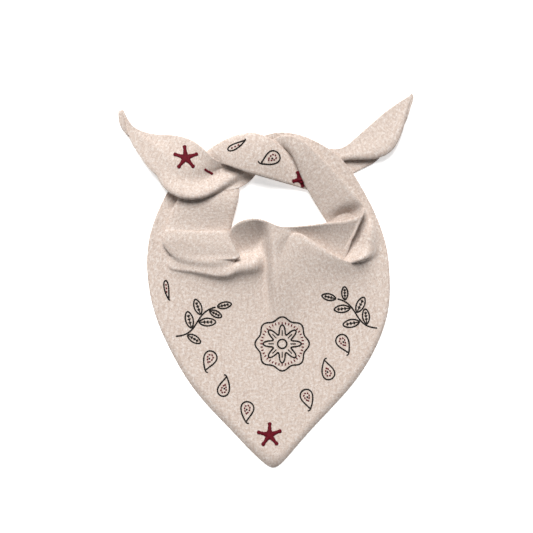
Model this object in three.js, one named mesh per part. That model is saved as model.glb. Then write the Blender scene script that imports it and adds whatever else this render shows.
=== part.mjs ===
// A knitted neckerchief, tied with a half knot and laid flat. Millimetres, +Z up.
// The cloth is one sheet: every row of the tables below is one section of it, taken from the
// neck edge to the hem, and the rows follow the neck edge from the left tail to the right one.
import * as THREE from "three";

// Driving sizes of the tied cloth
const LYING_WIDTH = 324;
const LYING_LENGTH = 411;
const FOLD_HEIGHT = 26;
const CLOTH_THICKNESS = 2;
const FOLD_ROUNDING = 4.4;
const BAND_CEILING = 0.46 * FOLD_HEIGHT;

// Driving sizes of the embroidery
const THREAD_WIDTH = 1.6;
const THREAD_HEIGHT = 0.8;
const THREAD_CLEARANCE = 0.3;
const STAR_RADIUS = 14;
const STAR_ARM_WIDTH = 4.6;
const STAR_TIP_WIDTH = 3.2;
const STAR_ARMS = 5;
const PAISLEY_LENGTH = 22;
const PAISLEY_WIDTH = 15;
const PAISLEY_FULLNESS = 1.3;
const PAISLEY_TAPER = 1.2;
const PAISLEY_BEND = 0.3;
const LEAF_LENGTH = 19;
const LEAF_WIDTH = 8.5;
const LEAF_TAPER = 1.5;
const LEAF_SPREAD = 1;
const MEDALLION_RADIUS = 30;
const SPRAY_REACH = 64;

// How finely the sheet is cut
const ROWS_ALONG = 96;
const STEPS_PER_SPAN = [3, 2, 2, 3, 2, 2, 3, 3];
const SOFTENING_PASSES = 2;
const SOFTENING = 0.25;
const LENGTHWISE_SOFTENING = 0.15;
const LONGEST_ROUNDING = 1 / 3;

const STAR_TIP_POINTS = 5;
const STAR_INNER_RING = 0.5;
const PAISLEY_POINTS = 14;
const LEAF_POINTS = 10;
const STEM_STEPS = 12;

const ORIGIN = new THREE.Vector2();
const PERCENT = 0.01;
const REST_HEIGHT = CLOTH_THICKNESS / 2;

// Columns of the tables, all in percent. X is a share of the lying width from the middle, Y of the
// lying length from the bottom tip, Up of the fold height above the cloth where it lies flat.
// The section leaves the neck edge, turns at its fold, turns back and ends at the hem. Gap is half
// the drop from layer to layer at a turn, and run is how far the last slope takes to reach the floor.
const COLUMNS = [
  "edgeX", "edgeY", "edgeUp", "foldX", "foldY", "foldUp", "foldGap",
  "backX", "backY", "backUp", "backGap", "hemX", "hemY", "hemUp", "run",
];

// Left tail, tip to knot: its neck edge is rolled under along the lower side
const LEFT_TAIL = [
  ["tip", -49, 94.9, 10, -50, 95.1, 5, 4, -49.3, 95.4, 1, 0, -48.4, 95.4, 1, 0],
  ["curl", -48.4, 93.1, 13, -50, 93, 7, 4, -48.9, 93.3, 2, 0, -47.4, 93.5, 3, 0],
  ["curl2", -47.6, 91.1, 13, -49.4, 90.8, 7, 4, -48, 91.1, 3, 0, -45.6, 91.2, 5, 0],
  ["near", -46, 87.2, 10, -45.5, 87.7, 11, 0, -44.1, 88.7, 11, 0, -42.4, 89.8, 6, 0],
  ["wide", -42.2, 82.7, 23, -41.5, 83.5, 26, 0, -40, 85.7, 25, 0, -37.7, 88.8, 9, 0],
  ["star", -38.6, 78.8, 37, -37.8, 79.9, 41, 0, -36, 83, 40, 0, -32.2, 88.7, 15, 0],
  ["full", -33.6, 76.6, 37, -35.5, 75.1, 46, -9, -31.9, 79.5, 49, 0, -26.8, 87.8, 26, 0],
  ["roll", -29.5, 75.2, 38, -32, 72.5, 62, -19, -27.8, 77.6, 49, 0, -23.5, 86.4, 42, 0],
  ["lip", -25.1, 74.7, 38, -27.1, 71.1, 67, -22, -23.4, 77.2, 42, 0, -20.7, 84.5, 54, 0],
  ["hole", -20.4, 74.7, 35, -22.1, 71.3, 64, -22, -19.3, 77.6, 28, 0, -18.2, 82.6, 53, 0],
];

// The same end on its way under the knot
const LEFT_UNDER_KNOT = [
  ["dive", -15.3, 73.8, 28, -17.4, 72.9, 52, -16, -15.9, 79, 22, 0, -15.9, 81.4, 45, 0],
  ["strip", -11.3, 74, 23, -11.7, 76.1, 27, -10, -12, 79.9, 19, 0, -12.2, 82.7, 25, 0],
  ["cross", -6.4, 75.8, 8, -6.6, 78.5, 20, -8, -7.5, 82.2, 18, 0, -7.8, 84.9, 21, 0],
  ["swing", -2.7, 79, 8, -2.7, 81.4, 12, 0, -3.7, 84.6, 14, 0, -4.4, 87, 18, 0],
  ["foldOver", -1.4, 83.5, 24, 1.4, 83.2, 14, 6, -0.7, 85.9, 13, 0, -2.4, 88, 18, 0],
];

// Right band, knot to corner: folded in two along the neck opening
const RIGHT_BAND = [
  ["emerge", 2, 87.5, 28, 5.1, 85.3, 21, 6, 2.7, 87.3, 16, 0, 0.5, 88.8, 18, 0],
  ["top", 6.1, 88.4, 61, 7.7, 84.3, 50, 11, 6.1, 86.7, 35, 0, 4.4, 89.4, 33, 0],
  ["shoulder", 10.5, 87.9, 80, 9.5, 81.9, 57, 13, 9.5, 85.4, 49, 0, 8.8, 89, 44, 0],
  ["high", 14.9, 85.3, 83, 11.5, 77.8, 45, 12, 13.6, 82.7, 52, 0, 13.6, 88, 42, 0],
  ["over", 19.3, 81.7, 77, 13.8, 73.9, 33, 11, 17, 79.5, 38, 0, 18.7, 86, 40, 0],
  ["mid", 24.1, 77.8, 72, 16.4, 70.2, 23, 10, 20.7, 75.2, 27, 0, 23.9, 83.4, 35, 0],
  ["lower", 28.5, 74, 66, 19, 67, 16, 8, 25.1, 71.5, 17, 0, 29.5, 78.3, 26, 0],
  ["tuck", 31.8, 70.8, 62, 21.4, 63.7, 12, 6, 29.2, 67.5, 7, 0, 34.1, 72.1, 12, 0],
  ["corner", 32.9, 69.3, 60, 23.7, 58.9, 8, 4, 31.9, 61.3, 0, 0, 37.8, 66.2, 1, 0],
];

// Throat, corner to middle: the cloth dips behind a slanting ridge
const THROAT = [
  ["turn", 33, 68.3, 62, 26.3, 55.8, 12, 0, 27.7, 56.9, 3, 0, 40, 61, 0, 5.9],
  ["hook", 32.4, 67.4, 63, 26.3, 54.9, 8, -2, 28.7, 54.1, 28, -4, 40.8, 58.6, 0, 7],
  ["flapRight", 31.1, 66.7, 62, 25.6, 54.4, 8, -5, 26.1, 54.2, 33, -6, 41.4, 55.7, 0, 8.6],
  ["flapMid", 26.8, 65.7, 61, 22.3, 55.6, 7, -6, 22, 56.9, 39, -9, 41.9, 49, 0, 10.7],
  ["flapLeft", 21.4, 65.3, 57, 18, 57.9, 9, -7, 17.8, 59.2, 44, -10, 41.5, 42, 0, 12.8],
  ["ridge", 16.3, 64.7, 52, 14, 60.2, 16, -6, 13.8, 61.4, 47, -8, 38, 33.3, 0, 13.9],
  ["ridgeEnd", 11.4, 64.3, 44, 10.2, 61.7, 30, -6, 10.2, 62.8, 50, -6, 31, 23.7, 0, 15],
];

// Front, middle to the bowl beside the left band
const FRONT = [
  ["join", 7.1, 64.1, 53, 7.3, 62.9, 53, 0, 7.5, 61.3, 49, 0, 22, 15.8, 0, 16.1],
  ["spine", 3.7, 64.3, 66, 4.1, 61.3, 64, 0, 4.4, 54.9, 55, 0, 11.9, 7.3, 0, 18.7],
  ["spine2", 0.9, 65.4, 75, 1.8, 61.3, 73, 0, 2.2, 54.9, 63, 0, 5.3, 0.9, 0, 16.6],
  ["bowlRight", -2.7, 66.2, 75, -1.2, 60.8, 6, 0, -0.3, 54.9, 2, 0, 1.2, 0, 0, 3.7],
  ["bowlRim", -5.2, 66.3, 75, -3.3, 58.6, 0, 0, -2.7, 54.3, 53, 0, -2, 2, 0, 4],
  ["bowl", -7.8, 65.8, 71, -6.1, 57.8, 0, 0, -6.1, 53.8, 56, 0, -6.8, 5.6, 0, 3.7],
  ["bowlLeft", -10.5, 64.9, 58, -8.5, 57.3, 0, 0, -9.5, 53.4, 55, 0, -13, 11, 0, 3.2],
  ["notch", -12.4, 63, 38, -10.2, 57, 7, 0, -11.2, 52.6, 56, 0, -19.7, 16.2, 0, 2.7],
  ["inside", -12.8, 60, 18, -10, 56.1, 37, 0, -12.2, 52.2, 50, 0, -26.5, 22.9, 0, 2.7],
];

// Puffed fold that laps over the foot of the left band
const PAD = [
  ["uTurn", -9, 55.9, 53, -11.5, 54.8, 62, 0, -15.6, 51.9, 45, 0, -31.9, 30.5, 0, 2.3],
  ["padFoot", -9.3, 56.9, 56, -18.7, 55, 49, 0, -24.1, 53.3, 28, 0, -34.4, 34.5, 0, 1.9],
  ["padLow", -10.3, 58.2, 57, -32.6, 55.8, 21, 2, -33.2, 54.2, 9, 2, -36.6, 38.5, 0, 1.3],
  ["padMid", -11.6, 60.1, 54, -35.5, 57.9, 24, 8, -32.2, 56.2, 7, 6, -38.8, 43.6, 0, 1.6],
  ["padHigh", -12.5, 62.1, 48, -35.5, 60.5, 25, 9, -30.9, 58.9, 8, 6, -40.1, 49.8, 0, 1.6],
  ["crest", -13.2, 63.6, 40, -34.9, 63.2, 25, 8, -27.8, 61.6, 8, 6, -40.5, 55.7, 0, 1.6],
];

// Left band, up to the knot: pleated in three, with its hem outermost
const LEFT_BAND = [
  ["undercut", -12.6, 60.8, 12, -34.3, 63.7, 20, 7, -27.1, 62.4, 8, 6, -39.9, 60.2, 0, 0],
  ["dip", -11.9, 64.3, 11, -33.2, 67, 21, 8, -25.8, 65.3, 8, 6, -38.7, 64, 0, 0],
  ["bandMid", -10.7, 67.8, 23, -31.4, 69.9, 26, 9, -24.1, 68.5, 8, 6, -37, 67.7, 0, 0],
  ["bandTop", -9.4, 71.8, 29, -29.3, 72.8, 28, 9, -22.4, 72.5, 8, 6, -34.6, 71.9, 0, 0],
  ["behind", -9.2, 75.1, 9, -26.8, 76, 18, 6, -20.7, 76, 7, 6, -31.5, 76, 0, 0],
];

// The same end where it turns up round the other one
const RIGHT_WRAP = [
  ["lowTurn", -12.3, 78.4, 8, -24.4, 79.5, 16, 6, -19.3, 79, 6, 5, -27.8, 80.6, 0, 0],
  ["rise", -15.1, 80.6, 24, -21.7, 83.8, 22, 6, -18.3, 81.9, 10, 5, -23.7, 84, 2, 0],
  ["bend", -14.8, 81, 48, -18.9, 85.4, 28, 8, -16.6, 83, 17, 6, -20.4, 83.8, 7, 0],
];

// Band across the front of the knot
const KNOT_BAND = [
  ["paisleyLeft", -11.9, 80.2, 64, -14.6, 87.4, 43, 10, -13.2, 83.2, 34, 6, -13.9, 85.1, 26, 0],
  ["paisley", -7.5, 78.9, 68, -9.4, 89, 55, 10, -8.3, 82.7, 42, 6, -8.8, 85.9, 35, 0],
  ["paisleyMid", -2.8, 77.8, 64, -4.6, 89.5, 55, 10, -3.7, 82.2, 41, 6, -4.2, 85.4, 34, 0],
  ["paisleyRight", 1.8, 76.8, 54, 0.3, 88.3, 55, 8, 1.4, 81.1, 39, 6, 1, 83.8, 34, 0],
  ["sink", 6.1, 75.9, 33, 4.7, 86.3, 35, 5, 5.6, 80.6, 23, 4, 5.3, 83, 19, 0],
  ["under3", 10.9, 74.9, 18, 8.7, 84.7, 21, 4, 9, 79.8, 14, 0, 8.8, 81.9, 13, 0],
];

// Right tail, knot to tip: a roll over a narrow lower layer
const RIGHT_TAIL = [
  ["hidden", 15.9, 73.9, 13, 15.3, 79, 16, 0, 14.9, 81.6, 18, 0, 14.6, 84.6, 20, 0],
  ["hidden2", 22.4, 75.6, 3, 21.4, 81.1, 9, -2, 21, 80.6, 16, -3, 20.7, 85.1, 20, 0],
  ["exit", 28.2, 78.1, 0, 26.8, 84.3, 9, -6, 27, 81.9, 22, -9, 26.1, 85, 23, 0],
  ["fold", 33.1, 80, 0, 30.5, 85.7, 9, -6, 31.9, 81.9, 26, -13, 30.9, 88.4, 20, 0],
  ["elbow", 37.5, 81.8, 0, 34.9, 87, 9, -6, 37.2, 82.1, 26, -13, 35.3, 91.4, 18, 0],
  ["side", 40.2, 84.6, 2, 39.3, 87.3, 9, -6, 41.9, 83.6, 23, -12, 39.3, 94.2, 15, 0],
  ["upper", 43.8, 88.3, 3, 42.4, 90.7, 8, -4, 45.1, 87.3, 19, -9, 42.9, 96.3, 11, 0],
  ["nearTip", 47.3, 92.1, 2, 46, 94, 6, -2, 47.2, 92.9, 12, -4, 45.8, 97.9, 7, 0],
  ["point", 48.9, 96.2, 1, 48.6, 97, 2, 0, 48.4, 97.8, 4, 0, 48, 98.8, 2, 0],
  ["end", 50, 98.8, 0, 49.8, 99.2, 0, 0, 49.6, 99.6, 0, 0, 49.4, 100, 0, 0],
];

// The stretches of the sheet in order, and how far each wide span of a section bows up, as a share
// of its own length: neck edge to fold, fold to turn-back, turn-back to hem
const STRETCHES = [
  { rows: LEFT_TAIL, bow: [0, 0, 0.07] },
  { rows: LEFT_UNDER_KNOT, bow: [0, 0.06, 0.04] },
  { rows: RIGHT_BAND, bow: [0.05, 0, 0] },
  { rows: THROAT, bow: [-0.04, 0, 0.1] },
  { rows: FRONT, bow: [-0.03, -0.02, 0.06] },
  { rows: PAD, bow: [0, 0, 0] },
  { rows: LEFT_BAND, bow: [0.05, 0, 0] },
  { rows: RIGHT_WRAP, bow: [0, 0, 0] },
  { rows: KNOT_BAND, bow: [0.08, 0, 0] },
  { rows: RIGHT_TAIL, bow: [0, 0, 0.06] },
];
const BOWED_SPANS = [0, 3, 6];

// Swells and hollows that the sections alone are too coarse for. Each one works between its named
// sections and spans: middle, half length and half width in percent of the lying width (y of the
// lying length), turn in degrees, rise in percent of the fold height
const FORMS = [
  {
    name: "pocket", from: "lower", to: "corner", spans: [0, 2],
    x: 26.8, y: 67.2, turn: 25, length: 5, width: 2.4, rise: -42,
  },
  {
    name: "pocketFloor", from: "tuck", to: "corner", spans: [0, 2],
    x: 28.5, y: 63.5, turn: 60, length: 5, width: 3, rise: -30,
  },
  {
    name: "flapEdge", from: "turn", to: "hook", spans: [0, 1.5],
    x: 30.4, y: 62.2, turn: 68, length: 6, width: 2.6, rise: 10,
  },
  {
    name: "armLow", from: "corner", to: "hook", spans: [6, 7],
    x: 31, y: 55, turn: 42, length: 4.6, width: 1.8, rise: 30,
  },
  {
    name: "armHigh", from: "mid", to: "hook", spans: [6, 7],
    x: 35.6, y: 62, turn: 76, length: 8, width: 3, rise: 34,
  },
];

// Where a fold runs out and the cloth should flow: between named sections and spans it is relaxed
// this many times
const RELAXED = [
  { from: "uTurn", to: "padMid", spans: [1.4, 4.8], passes: 3 },
  { from: "turn", to: "flapMid", spans: [2, 5], passes: 1 },
];

const yarn = new THREE.MeshStandardMaterial({ color: 0xd9c9bd, roughness: 0.95, metalness: 0 });
const redThread = new THREE.MeshStandardMaterial({ color: 0x6e0c20, roughness: 0.6, metalness: 0 });
const blackThread = new THREE.MeshStandardMaterial({ color: 0x2a2422, roughness: 0.65, metalness: 0 });

const SECTION_NAMES = STRETCHES.flatMap((stretch) => stretch.rows.map((row) => row[0]));

function namedColumns(row) {
  const values = row.slice(1);
  return Object.fromEntries(COLUMNS.map((column, i) => [column, values[i] * PERCENT]));
}

function placed(x, y, up) {
  return new THREE.Vector3(
    x * LYING_WIDTH,
    (y - 0.5) * LYING_LENGTH,
    REST_HEIGHT + up * FOLD_HEIGHT,
  );
}

// A point a short way from a turn towards its neighbour, one layer higher or lower
function besideTurn(turn, neighbour, rise) {
  const step = new THREE.Vector2(neighbour.x - turn.x, neighbour.y - turn.y);
  step.setLength(Math.min(FOLD_ROUNDING, step.length() * LONGEST_ROUNDING));
  return new THREE.Vector3(turn.x + step.x, turn.y + step.y, turn.z + rise);
}

// Where the last slope of a section ends: on the floor after its run, or half way to the hem
function footOf(back, hem, run, drop) {
  if (run === 0) {
    const foot = back.clone().lerp(hem, 0.5);
    foot.z -= drop / 2;
    return foot;
  }
  const reach = Math.hypot(hem.x - back.x, hem.y - back.y);
  const foot = back.clone().lerp(hem, (run * LYING_LENGTH) / reach);
  foot.z = REST_HEIGHT;
  return foot;
}

function sectionOf(row) {
  const edge = placed(row.edgeX, row.edgeY, row.edgeUp);
  const fold = placed(row.foldX, row.foldY, row.foldUp);
  const back = placed(row.backX, row.backY, row.backUp);
  const hem = placed(row.hemX, row.hemY, row.hemUp);
  const foldRise = row.foldGap * FOLD_HEIGHT;
  const backRise = row.backGap * FOLD_HEIGHT;
  return [
    edge,
    besideTurn(fold, edge, foldRise),
    fold,
    besideTurn(fold, back, -foldRise),
    besideTurn(back, fold, backRise),
    back,
    besideTurn(back, hem, -backRise),
    footOf(back, hem, row.run, backRise),
    hem,
  ];
}

// Knots of the spline along the sheet, spaced by the root of the mean distance between sections
function knotsOf(sections) {
  const knots = [0];
  for (let i = 1; i < sections.length; i += 1) {
    const steps = sections[i].map((point, k) => point.distanceTo(sections[i - 1][k]));
    const mean = steps.reduce((sum, step) => sum + step, 0) / steps.length;
    knots.push(knots[i - 1] + Math.sqrt(Math.max(mean, 1)));
  }
  return knots;
}

function slopeBetween(a, b, spacing) {
  return b.clone().sub(a).divideScalar(spacing);
}

// Tangent of one guide line at a section, from the sections on both sides
function tangentAt(guide, knots, i) {
  const last = guide.length - 1;
  const before = i > 0 ? slopeBetween(guide[i - 1], guide[i], knots[i] - knots[i - 1]) : null;
  const after = i < last ? slopeBetween(guide[i], guide[i + 1], knots[i + 1] - knots[i]) : null;
  if (!before || !after) return before || after;
  const share = (knots[i + 1] - knots[i]) / (knots[i + 1] - knots[i - 1]);
  return before.multiplyScalar(share).add(after.multiplyScalar(1 - share));
}

// Where a knot value lies among the sections, as a number with a fraction
function sectionAt(knots, at) {
  let i = 0;
  while (i < knots.length - 2 && knots[i + 1] < at) i += 1;
  return i + (at - knots[i]) / (knots[i + 1] - knots[i]);
}

// The section before such a place, and the share of the way to the next one
function cellOf(place, count) {
  const i = Math.min(Math.floor(place), count - 2);
  return [i, place - i];
}

// A guide line's point at a place, by a cubic between its two sections
function guidePoint(guide, tangents, knots, place) {
  const [i, f] = cellOf(place, knots.length);
  const spacing = knots[i + 1] - knots[i];
  const point = guide[i].clone().multiplyScalar(2 * f ** 3 - 3 * f ** 2 + 1);
  point.addScaledVector(tangents[i], (f ** 3 - 2 * f ** 2 + f) * spacing);
  point.addScaledVector(guide[i + 1], 3 * f ** 2 - 2 * f ** 3);
  point.addScaledVector(tangents[i + 1], (f ** 3 - f ** 2) * spacing);
  return point;
}

// The bows of the wide spans at a place, straight between sections
function bowAt(bows, place) {
  const [i, f] = cellOf(place, bows.length);
  return bows[i].map((bow, k) => bow + (bows[i + 1][k] - bow) * f);
}

// One row of the sheet: its guide points joined by straight steps, with the wide spans bowed
function cutRow(guidePoints, bows) {
  const row = [];
  STEPS_PER_SPAN.forEach((steps, span) => {
    const from = guidePoints[span];
    const to = guidePoints[span + 1];
    const bow = bows[BOWED_SPANS.indexOf(span)] ?? 0;
    const length = Math.hypot(to.x - from.x, to.y - from.y);
    for (let step = 0; step < steps; step += 1) {
      const f = step / steps;
      const point = from.clone().lerp(to, f);
      point.z += bow * length * 4 * f * (1 - f);
      row.push(point);
    }
  });
  row.push(guidePoints[guidePoints.length - 1].clone());
  return row;
}

// Rounds the turns: every inner point moves part of the way to the middle of its neighbours
function soften(points, share) {
  return points.map((point, i) => {
    if (i === 0 || i === points.length - 1) return point;
    const middle = points[i - 1].clone().add(points[i + 1]).divideScalar(2);
    return point.clone().lerp(middle, share * 2);
  });
}

// 1 between two bounds, fading to 0 over one whole step outside them
function between(value, low, high) {
  const inside = Math.min(value - low + 1, high - value + 1);
  return THREE.MathUtils.smoothstep(inside, 0, 1);
}

// How fully a swell, hollow or relaxed place counts at one point of the grid
function shareAt(place, sectionAt, spanAt) {
  const from = SECTION_NAMES.indexOf(place.from);
  const to = SECTION_NAMES.indexOf(place.to);
  return between(sectionAt, from, to) * between(spanAt, ...place.spans);
}

// Lets the named places flow: each inner point moves towards the middle of its four neighbours
function relax(grid, sectionsAt, spansAt) {
  let relaxed = grid;
  for (const place of RELAXED) {
    for (let pass = 0; pass < place.passes; pass += 1) {
      const old = relaxed;
      relaxed = old.map((row, i) =>
        row.map((point, k) => {
          const share = shareAt(place, sectionsAt[i], spansAt[k]);
          if (share === 0 || !old[i - 1] || !old[i + 1] || !row[k - 1] || !row[k + 1]) return point;
          const middle = new THREE.Vector3();
          for (const near of [old[i - 1][k], old[i + 1][k], row[k - 1], row[k + 1]]) {
            middle.addScaledVector(near, 1 / 4);
          }
          return point.clone().lerp(middle, share);
        }),
      );
    }
  }
  return relaxed;
}

// Lifts or sinks one point of the cloth by a swell or hollow
function pressForm(form, point, share) {
  const middle = placed(form.x * PERCENT, form.y * PERCENT, 0);
  const away = new THREE.Vector2(point.x - middle.x, point.y - middle.y);
  away.rotateAround(ORIGIN, -THREE.MathUtils.degToRad(form.turn));
  const along = away.x / (form.length * PERCENT * LYING_WIDTH);
  const aside = away.y / (form.width * PERCENT * LYING_WIDTH);
  const rise = form.rise * PERCENT * FOLD_HEIGHT;
  point.z += rise * share * Math.exp(-(along ** 2) - aside ** 2);
}

// The middle layer of the cloth as a grid of points, rows along it and columns across it
function clothGrid() {
  const rows = STRETCHES.flatMap((stretch) => stretch.rows.map(namedColumns));
  const bows = STRETCHES.flatMap((stretch) => stretch.rows.map(() => stretch.bow));
  const sections = rows.map(sectionOf);
  const knots = knotsOf(sections);
  const guides = sections[0].map((_, k) => sections.map((section) => section[k]));
  const tangents = guides.map((guide) => guide.map((_, i) => tangentAt(guide, knots, i)));
  let grid = [];
  const sectionsAt = [];
  for (let row = 0; row < ROWS_ALONG; row += 1) {
    const place = sectionAt(knots, (knots[knots.length - 1] * row) / (ROWS_ALONG - 1));
    const points = guides.map((guide, k) => guidePoint(guide, tangents[k], knots, place));
    let cut = cutRow(points, bowAt(bows, place));
    for (let pass = 0; pass < SOFTENING_PASSES; pass += 1) cut = soften(cut, SOFTENING);
    grid.push(cut);
    sectionsAt.push(place);
  }
  const columns = grid[0].map((_, k) => soften(grid.map((row) => row[k]), LENGTHWISE_SOFTENING));
  grid = grid.map((row, i) => row.map((_, k) => columns[k][i]));
  const spansAt = STEPS_PER_SPAN.flatMap((steps, span) =>
    Array.from({ length: steps }, (_, step) => span + step / steps),
  );
  spansAt.push(STEPS_PER_SPAN.length);
  grid = relax(grid, sectionsAt, spansAt);
  for (const form of FORMS) {
    grid.forEach((row, i) => {
      row.forEach((point, k) => pressForm(form, point, shareAt(form, sectionsAt[i], spansAt[k])));
    });
  }
  grid.flat().forEach((point) => point.setZ(Math.max(point.z, REST_HEIGHT)));
  return grid;
}

// Direction out of the cloth's right side at one grid point
function normalAt(grid, i, k) {
  const along = new THREE.Vector3().subVectors(
    grid[Math.min(i + 1, grid.length - 1)][k],
    grid[Math.max(i - 1, 0)][k],
  );
  const across = new THREE.Vector3().subVectors(
    grid[i][Math.min(k + 1, grid[i].length - 1)],
    grid[i][Math.max(k - 1, 0)],
  );
  return along.cross(across).normalize();
}

function solidFrom(points, index) {
  const geometry = new THREE.BufferGeometry();
  geometry.setFromPoints(points);
  geometry.setIndex(index);
  geometry.computeVertexNormals();
  return geometry;
}

// A closed solid from two skins of the same grid: right side, wrong side and the rim between them
function solidFromSkins(rightSide, wrongSide) {
  const rowCount = rightSide.length;
  const columnCount = rightSide[0].length;
  const points = [...rightSide.flat(), ...wrongSide.flat()];
  const wrong = rowCount * columnCount;
  const at = (i, k) => i * columnCount + k;
  const index = [];
  const quad = (a, b, c, d) => index.push(a, b, c, a, c, d);
  for (let i = 0; i < rowCount - 1; i += 1) {
    for (let k = 0; k < columnCount - 1; k += 1) {
      quad(at(i, k), at(i + 1, k), at(i + 1, k + 1), at(i, k + 1));
      quad(wrong + at(i, k), wrong + at(i, k + 1), wrong + at(i + 1, k + 1), wrong + at(i + 1, k));
    }
  }
  const rim = [];
  for (let i = 0; i < rowCount - 1; i += 1) rim.push(at(i, 0));
  for (let k = 0; k < columnCount - 1; k += 1) rim.push(at(rowCount - 1, k));
  for (let i = rowCount - 1; i > 0; i -= 1) rim.push(at(i, columnCount - 1));
  for (let k = columnCount - 1; k > 0; k -= 1) rim.push(at(0, k));
  rim.forEach((corner, n) => {
    const next = rim[(n + 1) % rim.length];
    quad(corner, wrong + corner, wrong + next, next);
  });
  return solidFrom(points, index);
}

function clothGeometry() {
  const grid = clothGrid();
  const skin = (side) =>
    grid.map((row, i) =>
      row.map((point, k) =>
        point.clone().addScaledVector(normalAt(grid, i, k), (side * CLOTH_THICKNESS) / 2),
      ),
    );
  const geometry = solidFromSkins(skin(1), skin(-1));
  geometry.computeBoundingBox();
  const middle = geometry.boundingBox.getCenter(new THREE.Vector3());
  geometry.translate(-middle.x, -middle.y, -geometry.boundingBox.min.z);
  return { geometry, shift: new THREE.Vector2(-middle.x, -middle.y) };
}

const cloth = clothGeometry();

// The highest point of the cloth over a plan position, below a ceiling for what lies under a band
function clothTop(x, y, ceiling = Infinity) {
  const position = cloth.geometry.getAttribute("position");
  const index = cloth.geometry.getIndex();
  let top = 0;
  for (let n = 0; n < index.count; n += 3) {
    const [a, b, c] = [0, 1, 2].map((corner) => index.getX(n + corner));
    const ax = position.getX(a) - x;
    const ay = position.getY(a) - y;
    const bx = position.getX(b) - x;
    const by = position.getY(b) - y;
    const cx = position.getX(c) - x;
    const cy = position.getY(c) - y;
    const shareA = bx * cy - by * cx;
    const shareB = cx * ay - cy * ax;
    const shareC = ax * by - ay * bx;
    if (shareA < 0 || shareB < 0 || shareC < 0) continue;
    const whole = shareA + shareB + shareC;
    if (whole === 0) continue;
    const z =
      (shareA * position.getZ(a) + shareB * position.getZ(b) + shareC * position.getZ(c)) / whole;
    if (z > top && z < ceiling) top = z;
  }
  return top;
}

// Where a motif's own point lies on the table's plan
function planPoint(xPercent, yPercent) {
  return new THREE.Vector2(
    xPercent * PERCENT * LYING_WIDTH,
    (yPercent * PERCENT - 0.5) * LYING_LENGTH,
  ).add(cloth.shift);
}

function laidOn(point, lift, ceiling) {
  return new THREE.Vector3(point.x, point.y, clothTop(point.x, point.y, ceiling) + lift);
}

// A flat line of thread laid on the cloth along a plan path, closed on itself or with square ends
function threadLine(path, closed) {
  const last = path.length - 1;
  const corners = path.map((point, i) => {
    const before = path[i > 0 ? i - 1 : closed ? last : 0];
    const after = path[i < last ? i + 1 : closed ? 0 : last];
    const across = new THREE.Vector2(before.y - after.y, after.x - before.x);
    across.setLength(THREAD_WIDTH / 2);
    const left = point.clone().add(across);
    const right = point.clone().sub(across);
    const low = THREAD_CLEARANCE;
    const high = THREAD_CLEARANCE + THREAD_HEIGHT;
    return [laidOn(left, low), laidOn(left, high), laidOn(right, high), laidOn(right, low)];
  });
  const index = [];
  const quad = (a, b, c, d) => index.push(a, b, c, a, c, d);
  for (let i = 0; i < (closed ? path.length : last); i += 1) {
    const here = i * 4;
    const next = ((i + 1) % path.length) * 4;
    for (let side = 0; side < 4; side += 1) {
      const other = (side + 1) % 4;
      quad(here + side, here + other, next + other, next + side);
    }
  }
  if (!closed) {
    quad(3, 2, 1, 0);
    quad(last * 4, last * 4 + 1, last * 4 + 2, last * 4 + 3);
  }
  return solidFrom(corners.flat(), index);
}

function turned(x, y, angle, origin) {
  return new THREE.Vector2(x, y).rotateAround(ORIGIN, angle).add(origin);
}

// Closed outline along a direction, with its offset to the side worked out for each turn round it:
// turn 0 is the foot, half a turn the tip
function outlineRound(centre, length, angle, pointCount, sideAt) {
  const path = [];
  for (let i = 0; i < pointCount; i += 1) {
    const turn = (i / pointCount) * 2 * Math.PI;
    const along = (-Math.cos(turn) * length) / 2;
    path.push(turned(along, sideAt(turn, along / length + 0.5), angle, centre));
  }
  return path;
}

// A paisley: round at its foot, narrow at its tip, with the tip bent to one side
function paisleyOutline(centre, width, angle, bend) {
  return outlineRound(centre, PAISLEY_LENGTH, angle, PAISLEY_POINTS, (turn, towardsTip) => {
    const narrowing = PAISLEY_FULLNESS * Math.abs(Math.cos(turn / 2)) ** PAISLEY_TAPER;
    return (Math.sin(turn) * narrowing * width) / 2 + bend * PAISLEY_BEND * width * towardsTip ** 3;
  });
}

// A leaf: pointed at both ends
function leafOutline(centre, length, width, angle) {
  return outlineRound(centre, length, angle, LEAF_POINTS, (turn) => {
    const side = Math.sin(turn);
    return (Math.sign(side) * Math.abs(side) ** LEAF_TAPER * width) / 2;
  });
}

// Rim of a star of thick thread with blunt arms, seen from its centre. Where a band hides part of
// it, only the arms that show are made.
function starRim(star) {
  const spread = THREE.MathUtils.degToRad(star.spread);
  const radius = STAR_RADIUS * star.size;
  const notch = STAR_ARM_WIDTH / 2 / Math.sin(Math.PI / STAR_ARMS);
  const tipRadius = STAR_TIP_WIDTH / 2;
  const rim = [];
  for (let arm = 0; arm < star.arms; arm += 1) {
    const angle = THREE.MathUtils.degToRad(star.turn) + arm * spread;
    rim.push(turned(notch, 0, angle - spread / 2, ORIGIN));
    for (let i = 0; i < STAR_TIP_POINTS; i += 1) {
      const bend = (i / (STAR_TIP_POINTS - 1) - 0.5) * Math.PI;
      const x = radius - tipRadius + tipRadius * Math.cos(bend);
      rim.push(turned(x, tipRadius * Math.sin(bend), angle, ORIGIN));
    }
  }
  if (star.arms < STAR_ARMS) {
    const lastAngle = THREE.MathUtils.degToRad(star.turn) + (star.arms - 0.5) * spread;
    rim.push(turned(notch, 0, lastAngle, ORIGIN));
  }
  return rim;
}

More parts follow.
